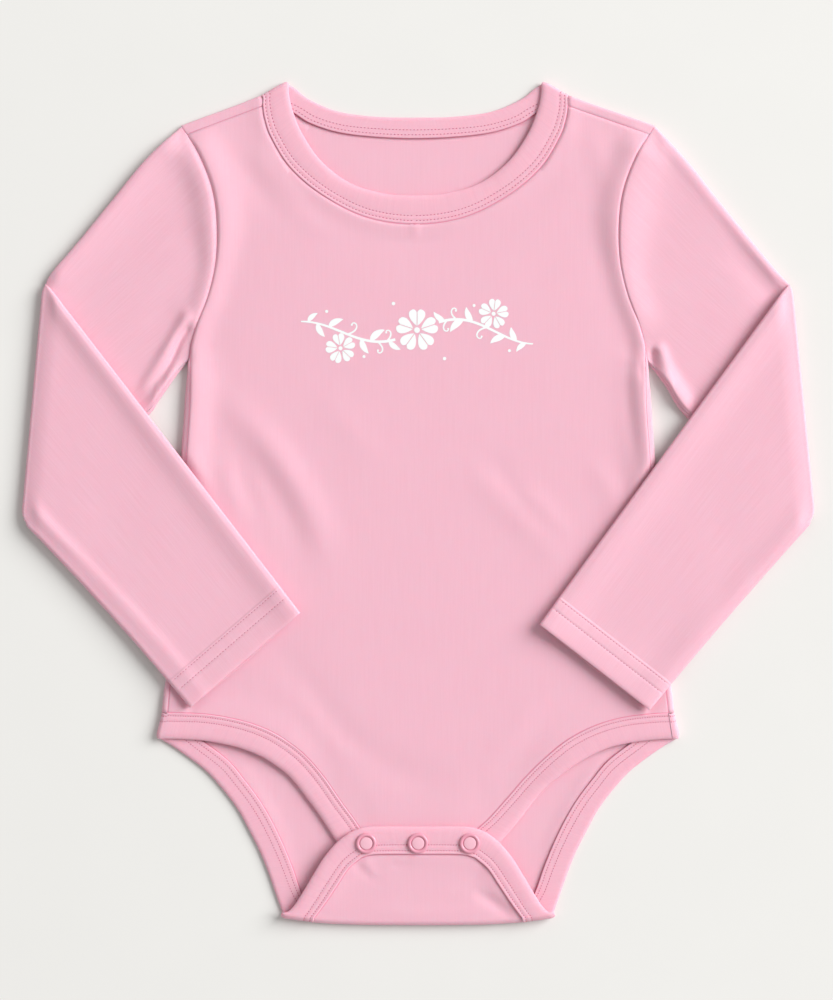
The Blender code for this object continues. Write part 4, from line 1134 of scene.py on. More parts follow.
# -------- sleeves
@dataclass
class Sleeve:
    """One sleeve: from the armhole to the elbow fold, over itself, and on to the open cuff."""

    name: str
    place: ForearmPlace
    outer_spots: Spots
    under_spots: Spots
    seam_roll: Roll
    outer_rolls: tuple[Roll, ...]
    near_roll: Roll
    far_roll: Roll
    creases: Creases
    forearm_creases: Creases
    under_roll: Roll = Roll(2.2, 3.2, 7, 2.6)
    under_roll_from: Pair = (3.0, 12.0)  # distance from the armhole, over what
    under_stand: float = 0.9
    under_stand_width: float = 9.0
    press: float = 14.0
    fold_stand: float = 1.8
    fold_step: float = 0.9
    near_thin: float = 0.7
    tilt_width: float = 6.0
    droop: float = 1.6
    droop_width: float = 10.0
    far_bow: float = 0.0
    upper_stand: float = 0.0
    upper_stand_width: float = 13.0
    stand_share: float = 0.14  # share over which its edges rise
    stand_free: Pair = (-2.0, 14.0)  # distance from the forearm, over what
    carried: float = 0.6  # how far the top layer follows that
    square_share: float = 0.04  # last share, where it squares up
    near_inset: float = 1.5
    far_inset: float = 2.3
    tip_inset: float = 1.2
    tip: Pair = (1.3, 1.3)
    corner: float = 5.5
    upper_rows: int = 88
    across: int = 64
    turn: int = 10
    elbow: int = 14
    forearm_rows: int = 86
    notch_clear: Pair = (1.1, 0.6)
    inset_over: float = 12.0
    outer_rolls_over: float = 10.0
    free_over: float = 11.0
    least_free: float = 0.2  # relief kept under the forearm
    armhole_end: Pair = (-26.0, 18.0)  # where the seam roll ends before the notch
    under_seam: Ditch = Ditch(0.45, 0.55)
    under_seam_inset: float = 2.0
    under_seam_over: float = 4.0
    calm_share: float = 0.07  # last share, where its relief ends
    opens_over: float = 10.0
    swings_over: float = 5.0
    sag: float = 0.3
    stand: float = 0.7
    stand_width: float = 12.0
    cuff_stand: float = 1.5
    cuff_stand_width: float = 13.0
    cuff_calm: Pair = (2.0, 22.0)  # where relief builds up, over what
    hem: float = 17.0
    hem_step: Pair = (0.42, 0.9)  # how far the turned hem lifts, over what
    hem_end: Ditch = Ditch(0.35, 0.6)
    stitch_groove: Ditch = Ditch(0.2, 0.45)
    hem_rows: Pair = (10.6, 16.1)
    hem_marks: tuple[float, ...] = (
        0.0, 0.3, 0.7, 1.3, 2.2, 3.6, 5.5, 7.5, 9.2, 9.9, 10.3, 10.6, 10.9, 11.3, 12.0, 13.4, 14.8, 15.5,
        15.8, 16.1, 16.4, 16.7, 17.0, 17.4, 17.9, 18.6, 19.6)
    under_lap: float = 1.0
    under_lap_over: float = 12.0
    cut_width: float = 178.0
    cut_length: float = 290.0

    def square_to(self, way: Array, turn: int) -> Array:
        """Vectors square to a way: turn 1 points off the elbow, outer and top edges, -1 off the others."""
        way = unit(np.atleast_2d(way))
        return turn * self.side.value * np.column_stack([-way[:, 1], way[:, 0]])

    def frame(self) -> None:
        """Work out the lines that the sleeve is laid along."""
        self.side = self.place.side
        self.top, self.bottom, self.inner, self.outer = on_side(self.place[1:], self.side)
        low = CUT.back_mid + self.fold_stand
        self.pressed = [low + step * self.fold_step for step in range(4)]
        self.turn_height = (self.pressed[3] + low) / 2
        self.u = crowded(self.across, 0.72, 0.72)
        self.elbow_along = unit(self.bottom - self.top)
        self.outward = self.square_to(self.elbow_along, 1)[0]
        start = self.top + self.tip[0] * self.elbow_along
        end = self.bottom - self.tip[1] * self.elbow_along
        off_end = np.minimum(self.u, 1.0 - self.u) * np.linalg.norm(end - start)
        self.fullness = np.sqrt(1.0 - (1.0 - np.minimum(off_end / self.corner, 1.0)) ** 2)
        inset = np.full(len(self.u), self.turn_height - low + CUT.cloth / 2)
        self.elbow_line = start + (end - start) * self.u[:, None] - inset[:, None] * self.outward
        cuff_along = unit(self.outer - self.inner)
        near, far = self.inner + self.near_inset * cuff_along, self.outer - self.far_inset * cuff_along
        self.cuff_line = near + (far - near) * self.u[:, None]
        self.off_far = self.square_to(self.outer - self.bottom, 1)
        self.forearm_along = unit(self.inner - self.top)

    def clear_of_forearm(self, points: Array) -> Array:
        """Distance of plan points above the forearm's inner edge."""
        rel = points - self.top
        return self.side.value * (rel[:, 0] * self.forearm_along[1] - rel[:, 1] * self.forearm_along[0])

    def under_forearm(self, lines: Array) -> tuple[Array, Array, Array]:
        """Plan points, how far outside the body each is, and how far below the upper sleeve."""
        points = lines.reshape(-1, 2)
        out = np.abs(points[:, 0])
        under = smooth_line(self.under_spots)
        return points, out - CUT.edge_out(points[:, 1]), np.interp(out, *under.T) - points[:, 1]

    def insets(self, line: Array) -> Array:
        """How far inside its outline an edge is turned, from the armhole to the elbow."""
        reached = travelled(line)
        full = ease(reached / self.inset_over) * ease((reached[-1] - reached) / self.inset_over)
        return self.tip_inset + (self.far_inset - self.tip_inset) * full

    def plump(self, away: Array) -> Array:
        """How far the pressed layers have opened at a distance from the elbow fold."""
        return 1.0 - (1.0 - np.clip(away / self.press, 0.0, 1.0)) ** 2

    def press_down(self, height: Array, layer: int, plump: Array) -> Array:
        """Height of a layer, drawn to where it lies in the pressed fold."""
        return self.pressed[layer] + (height - self.pressed[layer]) * plump

    def upper(self) -> list[Array]:
        """Rings from the armhole to the elbow."""
        t = crowded(self.upper_rows, 0.7, 0.5)
        seam = on_side(CUT.armhole(), self.side)
        seam = moved_aside(seam, self.side.value * CUT.seam_gap)
        start = at_shares(seam, self.u)
        start[-1] += (self.side.value * self.notch_clear[0], self.notch_clear[1])
        lines = (1 - t)[:, None, None] * start + t[:, None, None] * self.elbow_line
        edges = []
        for spots, turn, end in ((self.outer_spots, 1, 0), (self.under_spots, -1, -1)):
            edge = at_shares(on_side(smooth_line(spots), self.side), t)
            off = self.square_to(np.gradient(edge, axis=0), turn)
            inset = self.insets(edge)
            line = edge - inset[:, None] * off
            line += (1 - t)[:, None] * (lines[0, end] - line[0]) + t[:, None] * (lines[-1, end] - line[-1])
            edges.append((line, off, inset - CUT.cloth / 2))
        (over, near, near_reach), (under, far, far_reach) = edges
        pull_over, pull_under = over - lines[:, 0], under - lines[:, -1]
        lines = (lines + ((1 - self.u) ** 2)[None, :, None] * pull_over[:, None, :]
                 + (self.u ** 2)[None, :, None] * pull_under[:, None, :])
        to_elbow = ramp(t, 1.0 - self.square_share, self.square_share)[:, None]
        near = unit((1 - to_elbow) * near - to_elbow * self.elbow_along)
        far = unit((1 - to_elbow) * far + to_elbow * self.elbow_along)
        off_elbow = self.plump(np.linalg.norm(lines - self.elbow_line, axis=2))
        width = np.linalg.norm(lines - lines[:, :1], axis=2)
        clear = ease(t / self.stand_share)[:, None]
        low = CUT.back_mid + self.upper_stand * clear * bell(width, self.upper_stand_width)
        free = ramp(self.clear_of_forearm(lines.reshape(-1, 2)), *self.stand_free).reshape(width.shape)
        low += self.under_stand * clear * free * bell(width[:, -1:] - width, self.under_stand_width)
        high = self.upper_height(lines, t) + self.carried * (low - CUT.back_mid)
        low, high = self.press_down(low, 0, off_elbow), self.press_down(high, 1, off_elbow)
        return [self.ring(*row) for row in zip(lines, near, far, low, high, near_reach, far_reach)]

    def upper_height(self, lines: Array, t: Array) -> Array:
        """Middle height of the upper sleeve's top layer."""
        points = lines.reshape(-1, 2)
        width = np.linalg.norm(np.diff(lines, axis=1), axis=2)
        reached = np.concatenate([np.zeros((len(lines), 1)), np.cumsum(width, axis=1)], axis=1)
        near, far = reached.ravel(), (reached[:, -1:] - reached).ravel()
        seam = on_side(CUT.armhole(), self.side)
        away, along = nearest(points, seam)
        free = ease(self.clear_of_forearm(points) / self.free_over)
        strength = ALLOWANCE.strength(along) * (1.0 - ramp(along - travelled(seam)[-1], *self.armhole_end))
        lift = strength * self.seam_roll.lift(away / ALLOWANCE.width(along))
        for roll in self.outer_rolls:
            lift += ease(away / self.outer_rolls_over) * roll.lift(near)
        lift += ramp(away, *self.under_roll_from) * self.under_roll.lift(far)
        lift = creased(lift, self.creases, points)
        lift = np.where(lift > 0.0, lift * (self.least_free + (1.0 - self.least_free) * free), lift)
        lift += ALLOWANCE.ditch(strength) * FRONT.arm_ditch.lift(away)
        inset = self.under_seam_inset
        lift += self.under_seam.lift(far - inset) * ramp(away, inset, self.under_seam_over)
        lift = lift.reshape(lines.shape[:2]) * ease((1.0 - t) / self.calm_share)[:, None]
        return CUT.front_mid + lift

    def ring(self, line: Array, near: Array, far: Array, first: Array, second: Array, near_reach: float,
             far_reach: float) -> Array:
        """A ring of the tube: one layer out along the line, a turn, the other layer back, a turn."""
        turned = evenly(self.turn)[1:-1]
        out = np.column_stack([line, first])
        back = np.column_stack([line, second])[::-1]
        far_turn = half_turn(line[-1:], far[None], first[-1:], second[-1:], turned, far_reach)[0]
        near_turn = half_turn(line[:1], near[None], second[:1], first[:1], turned, near_reach)[0]
        return np.vstack([out, far_turn, back, near_turn])

    def folded(self, ring: Array) -> list[Array]:
        """Rings of the turn at the elbow."""
        corner = np.zeros(self.turn - 1)
        fullness = np.concatenate([self.fullness, corner, self.fullness[::-1], corner])
        rings = []
        for angle in np.linspace(0.0, math.pi, self.elbow + 1)[1:]:
            radius = self.turn_height - ring[:, 2]
            plan = ring[:, :2] + (fullness * radius * math.sin(angle))[:, None] * self.outward
            rings.append(np.column_stack([plan, self.turn_height - radius * math.cos(angle)]))
        return rings

    def forearm(self) -> list[Array]:
        """Rings from the elbow to the cuff."""
        marks = np.array(self.hem_marks)
        span = np.linalg.norm(self.cuff_line - self.elbow_line, axis=1)
        share = evenly(self.forearm_rows)[1:-1, None]
        at_hem = np.tile(marks[:, None], len(self.u))
        from_cuff = np.vstack([at_hem, marks[-1] + share * (span - marks[-1])])[::-1]
        t = 1.0 - from_cuff / span
        lines = (1 - t)[..., None] * self.elbow_line + t[..., None] * self.cuff_line
        off_elbow = ease((span - from_cuff) / self.opens_over)
        plump = self.plump(span - from_cuff)
        bow = self.far_bow * 4.0 * t * (1.0 - t) * self.u ** 2
        lines = lines - bow[..., None] * self.off_far
        past_tip = ease((span - from_cuff) / self.swings_over)
        near = self.blend(-self.elbow_along, self.square_to(self.inner - self.top, -1), past_tip[:, :1])
        far = self.blend(self.elbow_along, self.off_far, past_tip[:, -1:])
        near_reach = self.tip_inset + (self.near_inset - self.tip_inset) * past_tip[:, 0] - CUT.cloth / 2
        far_reach = self.tip_inset + (self.far_inset - self.tip_inset) * past_tip[:, -1] - CUT.cloth / 2
        width = np.linalg.norm(lines[:, -1] - lines[:, 0], axis=1)[:, None]
        from_near, from_far = width * self.u[None, :], width * (1.0 - self.u[None, :])
        low = self.lying(lines) + off_elbow * self.stand * bell(from_near, self.stand_width)
        low += self.cuff_stand * bell(from_cuff, self.cuff_stand_width)
        high = low + CUT.layer_step + self.forearm_lift(lines, from_cuff, from_near, from_far, off_elbow)
        low -= self.droop * self.beside(lines) * off_elbow * bell(from_far, self.droop_width)
        low += self.near_thin * off_elbow * bell(from_near, self.tilt_width)
        low, high = self.press_down(low, 2, plump), self.press_down(high, 3, plump)
        at_cuff = ease(1.0 - from_cuff / self.under_lap_over)
        lap = self.under_lap * np.sin(math.pi * self.u)[None, :] * at_cuff
        onward = unit(self.cuff_line - self.elbow_line)
        rings = []
        for line, *row, extra in zip(lines, near, far, high, low, near_reach, far_reach, lap):
            ring = self.ring(line, *row)
            back = slice(len(line) + self.turn - 1, 2 * len(line) + self.turn - 1)
            ring[back, :2] += (extra[:, None] * onward)[::-1]
            rings.append(ring)
        return rings

    def beside(self, lines: Array) -> Array:
        """One where the forearm has nothing under it, zero on the body and the upper sleeve."""
        _, outside, below = self.under_forearm(lines)
        return ease(np.minimum(outside - 4.0, below - 6.0) / 12.0).reshape(lines.shape[:2])

    def blend(self, start: Array, end: Array, share: Array) -> Array:
        """Directions that swing from one way to another."""
        return unit((1.0 - share) * start + share * end)

    def lying(self, lines: Array) -> Array:
        """Middle height of the forearm's lower layer, lying on the rest or sunk beside it."""
        points, outside, below = self.under_forearm(lines)
        climb = np.maximum(FRONT.at(points) - CUT.front_mid - FRONT.swell, 0.0) * ease(1.0 - outside / 10.0)
        side = 0.2 * ease(1.0 - outside / 40.0)
        sunk = self.sag * ease(np.minimum(outside - 5.0, below - 11.0) / 50.0)
        return (CUT.forearm_mid + climb + side - sunk).reshape(lines.shape[:2])

    def forearm_lift(self, lines: Array, from_cuff: Array, near: Array, far: Array,
                     off_elbow: Array) -> Array:
        """What rolls, creases and the hem add to the forearm's top layer."""
        lift = self.near_roll.lift(near) + self.far_roll.lift(far)
        lift = creased(lift.ravel(), self.forearm_creases, lines.reshape(-1, 2)).reshape(near.shape)
        lift = lift * off_elbow * (0.5 + 0.5 * ramp(from_cuff, *self.cuff_calm))
        height, over = self.hem_step
        lift += height * ease((self.hem - from_cuff) / over + 0.5)
        for row in self.hem_rows:
            lift += self.stitch_groove.lift(from_cuff - row)
        return lift + self.hem_end.lift(from_cuff)

    def build(self, finishes: Wardrobe) -> Object:
        """Make the sleeve."""
        self.frame()
        rings = self.upper()
        rings += self.folded(rings[-1])
        rings += self.forearm()
        self.grid = grid = np.array([np.vstack([ring, ring[:1]]) for ring in rings])
        along = travelled(grid[:, grid.shape[1] // 4])
        around = travelled(grid[len(grid) // 3])
        piece = tube_piece(self.name + "_cloth", grid, [around, along], finishes.sleeve,
                           [self.name], by_row=False)
        add_wall(piece)
        return piece

    def hem_lines(self) -> list[Array]:
        """Lines of the cuff hem's two stitch rows, on the top layer."""
        rows = [-1 - self.hem_marks.index(row) for row in self.hem_rows]
        return [self.grid[row, 2:len(self.u) - 2] + (0.0, 0.0, CUT.cloth / 2) for row in rows]


def sleeves() -> list[Sleeve]:
    """Both sleeves as they lie."""
    dying = Fade.TOWARDS_END
    left = Sleeve(
        "sleeve_left", FOREARM_LEFT,
        outer_spots=curve((120.9, 192.9), (139.2, 175.4), (156.1, 155), (172.9, 134.6), (186.2, 119.3),
                          (191, 112.2)),
        under_spots=curve((116.6, 72.8), (123.4, 64.3), (131.6, 53), (138.9, 43.9), (167, 21.5),
                          (200, -6)),
        seam_roll=Roll(2.75, 3.2, 8.3, 3.8),
        outer_rolls=(Roll(0.6, 0.6, 5, 1.8), Roll(0.4, 0, 14)),
        near_roll=Roll(1.15, 1.6, 7, 2.6),
        far_roll=Roll(0.75, 7.5, 3.4, 5.5),
        press=13.0, upper_stand=3.0, fold_stand=1.9, far_bow=1.2, near_thin=0.2,
        creases=creases(
            (((-118, 94), (-126, 81), (-136.7, 63.8), (-146, 50)), 3, 2.4, dying),
            (((-117.5, 89.5), (-121.4, 83.5), (-126, 71.9), (-132.5, 60.5)), 2.2, -2.1, dying),
            (((-128, 96), (-144, 84), (-164, 76)), 6, -0.5, dying),
        ),
        forearm_creases=creases(
            (((-188, 20), (-168, -20), (-140, -56)), 14, 0.3),
            (((-198, 4), (-186, -12), (-172, -26)), 3.5, 0.5, dying),
        ),
    )
    right = Sleeve(
        "sleeve_right", FOREARM_RIGHT,
        outer_spots=curve((118.8, 193), (135.7, 175.4), (152.5, 155), (169.8, 134.6), (183.1, 119.3),
                          (190.4, 111.9)),
        under_spots=curve((116.9, 70.5), (119, 67.2), (126.6, 57.2), (137, 42.6), (167, 19),
                          (200.2, -5.5)),
        seam_roll=Roll(3.6, 1.3, 12.6, 1.9),
        outer_rolls=(Roll(0.8, 0.4, 4.2, 1.8), Roll(0.4, 0, 14)),
        near_roll=Roll(0.6, 4, 10, 4),
        far_roll=Roll(1.1, 3.6, 7.5, 4.5),
        far_bow=0.7, stand=1.6, under_roll=Roll(3, 3.2, 7, 2.6),
        creases=creases(
            (((123.6, 78), (126.6, 70.6), (132.6, 60.6), (139.5, 50)), 2.8, 1.7, dying),
            (((119.6, 76.6), (119.6, 72.6), (121.4, 67.4)), 2, -1.7, dying),
            (((186, 107.5), (181, 101), (172, 89), (158, 72)), 6, -1.1, dying),
            (((180, 107), (170, 118.5), (157, 134)), 6.5, -1, dying),
            (((136, 176), (150, 158), (160, 140)), 5, -0.35),
        ),
        forearm_creases=creases(
            (((186, 16), (164, -22), (138, -58)), 14, 0.3),
            (((128, -62), (138, -60), (150, -40)), 8, 0.3),
        ),
    )
    return [left, right]


# -------- bindings and stitches
@dataclass(frozen=True)
class Section:
    """Section of a folded binding: a firm roll at its seam, two stitch rows, a soft folded edge."""

    half: float = 1.1
    rows: Pair = (1.9, 4.9)
    groove: float = 0.12
    flat: float = 1.1  # half thickness that the corners are drawn for, and scaled from

    def outline(self, width: float, rows: Pair) -> Array:
        """Corners round the section, as distance from the seam and height, seam side first."""
        first, second = rows
        middle = (second + width) / 2 - 0.8
        flat = self.flat
        top = np.array([
            (0.0, 0.5), (0.06, 0.86), (0.18, 1.1), (0.4, 1.22), (max(first - 1.0, 0.62), 1.2),
            (first - 0.4, 1.02), (first, flat - self.groove), (first + 0.35, 0.97), (first + 0.8, flat),
            (second - 0.8, 1.08), (second - 0.35, 0.97), (second, flat - self.groove), (second + 0.4, 1.0),
            (second + 1.2, flat), (min(second + 2.6, middle - 0.2), 1.18),
            (max(width - 3.8, middle + 0.2), 1.24), (width - 2.8, 1.2), (width - 1.9, 1.08),
            (width - 1.1, 0.86), (width - 0.5, 0.56), (width - 0.12, 0.26),
        ])
        top[:, 1] *= self.half / flat
        bottom = np.column_stack([top[::-1, 0], -np.minimum(top[::-1, 1], self.half - 0.1)])
        return np.vstack([top, bottom])

    def stitch_height(self) -> float:
        """Height of the cloth over the binding's middle at a stitch row."""
        return (self.flat - self.groove) * self.half / self.flat + 0.04


class Station(NamedTuple):
    """A place along a binding: its seam, its folded edge and the way its outside faces."""

    seam: Array
    edge: Array
    outside: Array
    rows: Pair | None = None


@dataclass
class Binding:
    """A folded strip of jersey swept along stations."""

    name: str
    nodes: tuple[str, ...]
    section: Section
    closed: bool
    strip: Pair
    pitch: float = 1.25
    dash: float = 0.75

    def stations(self) -> list[Station]:
        """Places along the strip; each binding lays its own."""
        raise NotImplementedError

    def build(self, finishes: Wardrobe) -> Object:
        """Make the binding."""
        self.laid = self.stations()
        rings = []
        for station in self.laid:
            across = station.edge - station.seam
            width = np.linalg.norm(across)
            outline = self.section.outline(width, station.rows or self.section.rows)
            rings.append(station.seam + outline[:, :1] * across / width + outline[:, 1:] * station.outside)
        grid = np.array([np.vstack([ring, ring[:1]]) for ring in rings])
        if self.closed:
            grid = np.concatenate([grid, grid[:1]])
        reached = [travelled(grid[0]), travelled(grid[:, 0])]
        piece = tube_piece(self.name, grid, reached, finishes.binding, self.nodes,
                           by_row=True)
        return piece

    def stitch_lines(self) -> list[TwoLines]:
        """Lines of the two stitch rows on the upper face, with the way each point faces."""
        lines = []
        for index in range(2):
            places, faces = [], []
            for station in self.laid:
                row = (station.rows or self.section.rows)[index]
                across = unit(station.edge - station.seam)
                outside = station.outside if station.outside[2] >= 0 else -station.outside
                places.append(station.seam + row * across + outside * self.section.stitch_height())
                faces.append(outside)
            lines.append((np.array(places), np.array(faces)))
        return lines


def flat_stations(seam: Array, edge: Array, heights: Array | float, outside: Array) -> list[Station]:
    """Stations along two plan lines that lie at the given heights."""
    heights = np.broadcast_to(np.asarray(heights, float), len(seam))
    return [Station(np.array([*inner, height]), np.array([*outer, height]), outside)
            for inner, outer, height in zip(seam, edge, heights)]


def turned_stations(seam: Array, edge: Array, direction: Array, start: float, end: float,
                    reach: float | None = None, steps: int = 12) -> list[Station]:
    """Stations of a strip that turns over an edge, without its two flat ends."""
    turned = evenly(steps)[1:-1]
    seams = half_turn(seam[None], direction[None], start, end, turned, reach)[0]
    edges = half_turn(edge[None], direction[None], start, end, turned, reach)[0]
    stations = []
    for share, inner, outer in zip(turned, seams, edges):
        swing = math.pi * share if end > start else math.pi * (1 - share)
        outside = np.array([*(direction * math.sin(swing)), -math.cos(swing)])
        stations.append(Station(inner, outer, outside))
    return stations


def side_joint(side: Side) -> float:
    """Half the gap where a leg binding is joined at the side seam; the left one is closed."""
    return 0.15 if side is Side.RIGHT else 0.0


FRONT_LEG_SECTION = Section(rows=(1.5, 4.3))


@dataclass
class NeckBinding(Binding):
    """The ring round the neck: front band, turn over each shoulder, and back band."""

    name: str = "neck_band"
    nodes: tuple[str, ...] = ("neck_binding",)
    section: Section = Section(0.98, (1.75, 4.25))
    closed: bool = True
    strip: Pair = (14.6, 440.0)
    pitch: float = 1.8
    dash: float = 1.05
    front_parts: int = 120
    back_parts: int = 56
    height: float = 3.25
    dip: float = 0.4
    dip_from: float = 56.0
    dip_over: float = 20.0

    def stations(self) -> list[Station]:
        """Places round the neck."""
        halves = []
        for side in (Side.RIGHT, Side.LEFT):
            lines = []
            for seam, edge, parts in ((CUT.neck_front_seam, CUT.neck_front_edge, self.front_parts),
                                      (CUT.neck_back_seam, CUT.neck_back_edge, self.back_parts)):
                inner, outer = matched(CUT.neck_line(seam, side), CUT.neck_line(edge, side), parts)
                lines.append((moved_aside(inner, -side.value * CUT.seam_gap), outer))
            (front, front_edge), (back, back_edge) = lines
            back[0] = front[0]
            sunk = ease((self.dip_from - np.abs(front[:, 0])) / self.dip_over)
            direction = outward_of(front[0], front_edge[0], side)
            stations = flat_stations(front, front_edge, self.height - self.dip * sunk, UP)[::-1]
            behind = CUT.back_binding_mid
            stations += turned_stations(front[0], front_edge[0], direction, behind, self.height)[::-1]
            stations += flat_stations(back, back_edge, behind, -UP)
            halves.append(stations)
        return halves[0] + halves[1][::-1][1:-1]


@dataclass
class FrontLegBinding(Binding):
    """Binding of one front leg edge, from the side seam to the end of the crotch tab."""

    name: str = ""
    nodes: tuple[str, ...] = ()
    section: Section = FRONT_LEG_SECTION
    closed: bool = False
    strip: Pair = (14.0, 152.0)
    side: Side = Side.LEFT
    parts: int = 110
    tab_mid: float = 2.4
    dip_from: float = 75.0
    dip_over: float = 30.0

    def stations(self) -> list[Station]:
        """Places along the leg edge."""
        seam, edge = matched(*CUT.leg_front(self.side), self.parts)
        seam = moved_aside(seam, CUT.seam_gap)
        seam[0, 0] -= side_joint(self.side)
        edge[0, 0] -= side_joint(self.side)
        seam, edge = on_side(seam, self.side), on_side(edge, self.side)
        sunk = ease((self.dip_from - np.abs(seam[:, 0])) / self.dip_over)
        heights = CUT.front_binding_mid - (CUT.front_binding_mid - self.tab_mid) * sunk
        return flat_stations(seam, edge, heights, UP)


@dataclass
class BackLegBinding(Binding):
    """The strip that binds the back leg edges and the flap, from one side seam to the other."""

    name: str = "leg_and_flap_band"
    nodes: tuple[str, ...] = ("back_leg_binding",)
    section: Section = Section()
    closed: bool = False
    strip: Pair = (14.6, 468.0)
    pitch: float = 1.4
    dash: float = 0.85
    leg_parts: int = 96
    flap_parts: int = 34
    top_parts: int = 34
    fold_reach: float = 1.8

    def stations(self) -> list[Station]:
        """Places along the strip."""
        halves = []
        for side in (Side.RIGHT, Side.LEFT):
            (leg, leg_edge), (flap, flap_edge), (top, top_edge) = (
                matched(dense(seam), dense(edge), parts) for dense, seam, edge, parts in (
                    (smooth_line, CUT.leg_back_seam, CUT.leg_back_edge, self.leg_parts),
                    (smooth_line, CUT.flap_seam, CUT.flap_edge, self.flap_parts),
                    (to_middle, CUT.flap_top_seam, CUT.flap_top_edge, self.top_parts)))
            flap = moved_aside(np.vstack([flap, top[1:]]), -CUT.seam_gap)
            flap_edge = np.vstack([flap_edge, top_edge[1:]])
            leg = moved_aside(leg, CUT.seam_gap)
            corner = (CUT.leg_back_seam[-1].out + CUT.seam_gap, CUT.leg_back_seam[-1].up)
            leg[0] = (CUT.leg_back_seam[0].out, CUT.leg_back_seam[0].up - CUT.seam_gap)
            leg[-1] = corner
            flap[0] = corner
            flap[-1, 0] = 0.0
            leg, leg_edge, flap, flap_edge = (
                on_side(line, side) for line in (leg, leg_edge, flap, flap_edge))
            end_seam, end_edge = (
                on_side(line[:1] + (side_joint(side), down), side)[0]
                for line, down in zip(CUT.leg_front(side), (-CUT.seam_gap, 0.0)))
            front, back, high = CUT.front_binding_mid, CUT.back_binding_mid, CUT.flap_binding_mid
            stations = flat_stations([end_seam, leg[0]], [end_edge, leg_edge[0]], front, UP)
            outward = outward_of(leg[0], leg_edge[0], side)
            stations += turned_stations(leg[0], leg_edge[0], outward, front, back)
            stations = [station._replace(rows=FRONT_LEG_SECTION.rows) for station in stations]
            stations += flat_stations(leg, leg_edge, back, -UP)
            fold = CUT.crotch_direction(leg[-1, 0])
            stations += turned_stations(leg[-1], leg_edge[-1], fold, back, high, self.fold_reach)
            stations += flat_stations(flap, flap_edge, high, UP)
            halves.append(stations)
        return halves[0] + halves[1][::-1][1:]


@dataclass
class Stitches:
    """Rows of short sewing-thread stitches, half sunk in the cloth."""

    pitch: float = 1.8
    length: float = 1.05
    width: float = 0.5
    height: float = 0.28
    beside: float = 0.4  # distance to both sides over which the line's course is taken

    def add_row(self, maker: BMesh, line: Array, faces: Array | None = None) -> int:
        """Lay stitches along a line.

        Args:
            maker: bmesh that they are added to.
            line: points in space, in millimetres.
            faces: the way the cloth faces at each point; up if left out.
        Returns:
            How many were laid.
        """
        reached = travelled(line)
        count = int(reached[-1] / self.pitch)
        centres = (np.arange(count) + 0.5) * reached[-1] / count
        places = at_distances(line, centres)
        ahead = unit(at_distances(line, centres + self.beside) - at_distances(line, centres - self.beside))
        ups = np.tile(UP, (count, 1)) if faces is None else unit(
            np.column_stack([np.interp(centres, reached, values) for values in faces.T]))
        for place, along, up in zip(places, ahead, ups):
            aside = unit(np.cross(up, along))
            facing = np.cross(along, aside)
            axes = (along * self.length / 2, aside * self.width / 2, facing * self.height / 2)
            matrix = Matrix.Translation(Vector(place) * MM) @ Matrix(axes).transposed().to_4x4()
            bmesh.ops.create_uvsphere(maker, u_segments=6, v_segments=4, radius=MM, matrix=matrix)
        return count

    def build(self, name: str, lines: Sequence[tuple[Array, Array | None]], finishes: Wardrobe,
              slot: str) -> Object:
        """Join the stitches of several rows, each made apart for speed, into one piece."""
        joined = bmesh.new()
        count = 0
        for line, faces in lines:
            maker = bmesh.new()
            count += self.add_row(maker, line, faces)
            row = bpy.data.meshes.new("row")
            maker.to_mesh(row)
            maker.free()
            joined.from_mesh(row)
            bpy.data.meshes.remove(row)
        log.info("%s: %d stitches", name, count)
        return finish_piece(joined, name, finishes.thread)


@dataclass
class PaintedSeamShade:
    """Painted seam shade: narrow strips of deeper pink laid in the ditch of each seam, standing in for the
    shade there.
    """

    width: float = 0.5
    above: float = 0.05

    def lines(self) -> list[TwoLines]:
        """Seams of the front and the flap in plan, with the height of the cloth along each."""
        seams = []
        for side in Side:
            seams += [on_side(CUT.armhole(), side), on_side(CUT.side_seam(), side),
                      CUT.with_neck(CUT.shoulder_seam(), side), on_side(CUT.leg_front(side)[0], side),
                      CUT.neck_line(CUT.neck_front_seam[1:], side)]
        laid = [(seam, FRONT.at(seam)) for seam in seams]
        flap = np.vstack([smooth_line(CUT.flap_seam), to_middle(CUT.flap_top_seam)[1:]])
        back = BackPanel()
        for side in Side:
            seam = on_side(flap, side)
            laid.append((seam, back.flap_height(seam)))
            leg = on_side(smooth_line(CUT.leg_back_seam), side)
            for seam in (leg, CUT.neck_line(CUT.neck_back_seam, side)):
                laid.append((seam, back.inside(seam)))
        return laid

    def build(self, finishes: Wardrobe) -> Object:
        """Lay a narrow strip of painted seam shade along each seam."""
        maker = bmesh.new()
        for line, height in self.lines():
            aside = aside_of(line) * self.width / 2
            top = (height + CUT.cloth / 2 + self.above)[:, None]
            fill_grid(maker, np.stack([np.hstack([line - aside, top]), np.hstack([line + aside, top])]))
        return finish_piece(maker, "painted_seam_shade", finishes.seam)


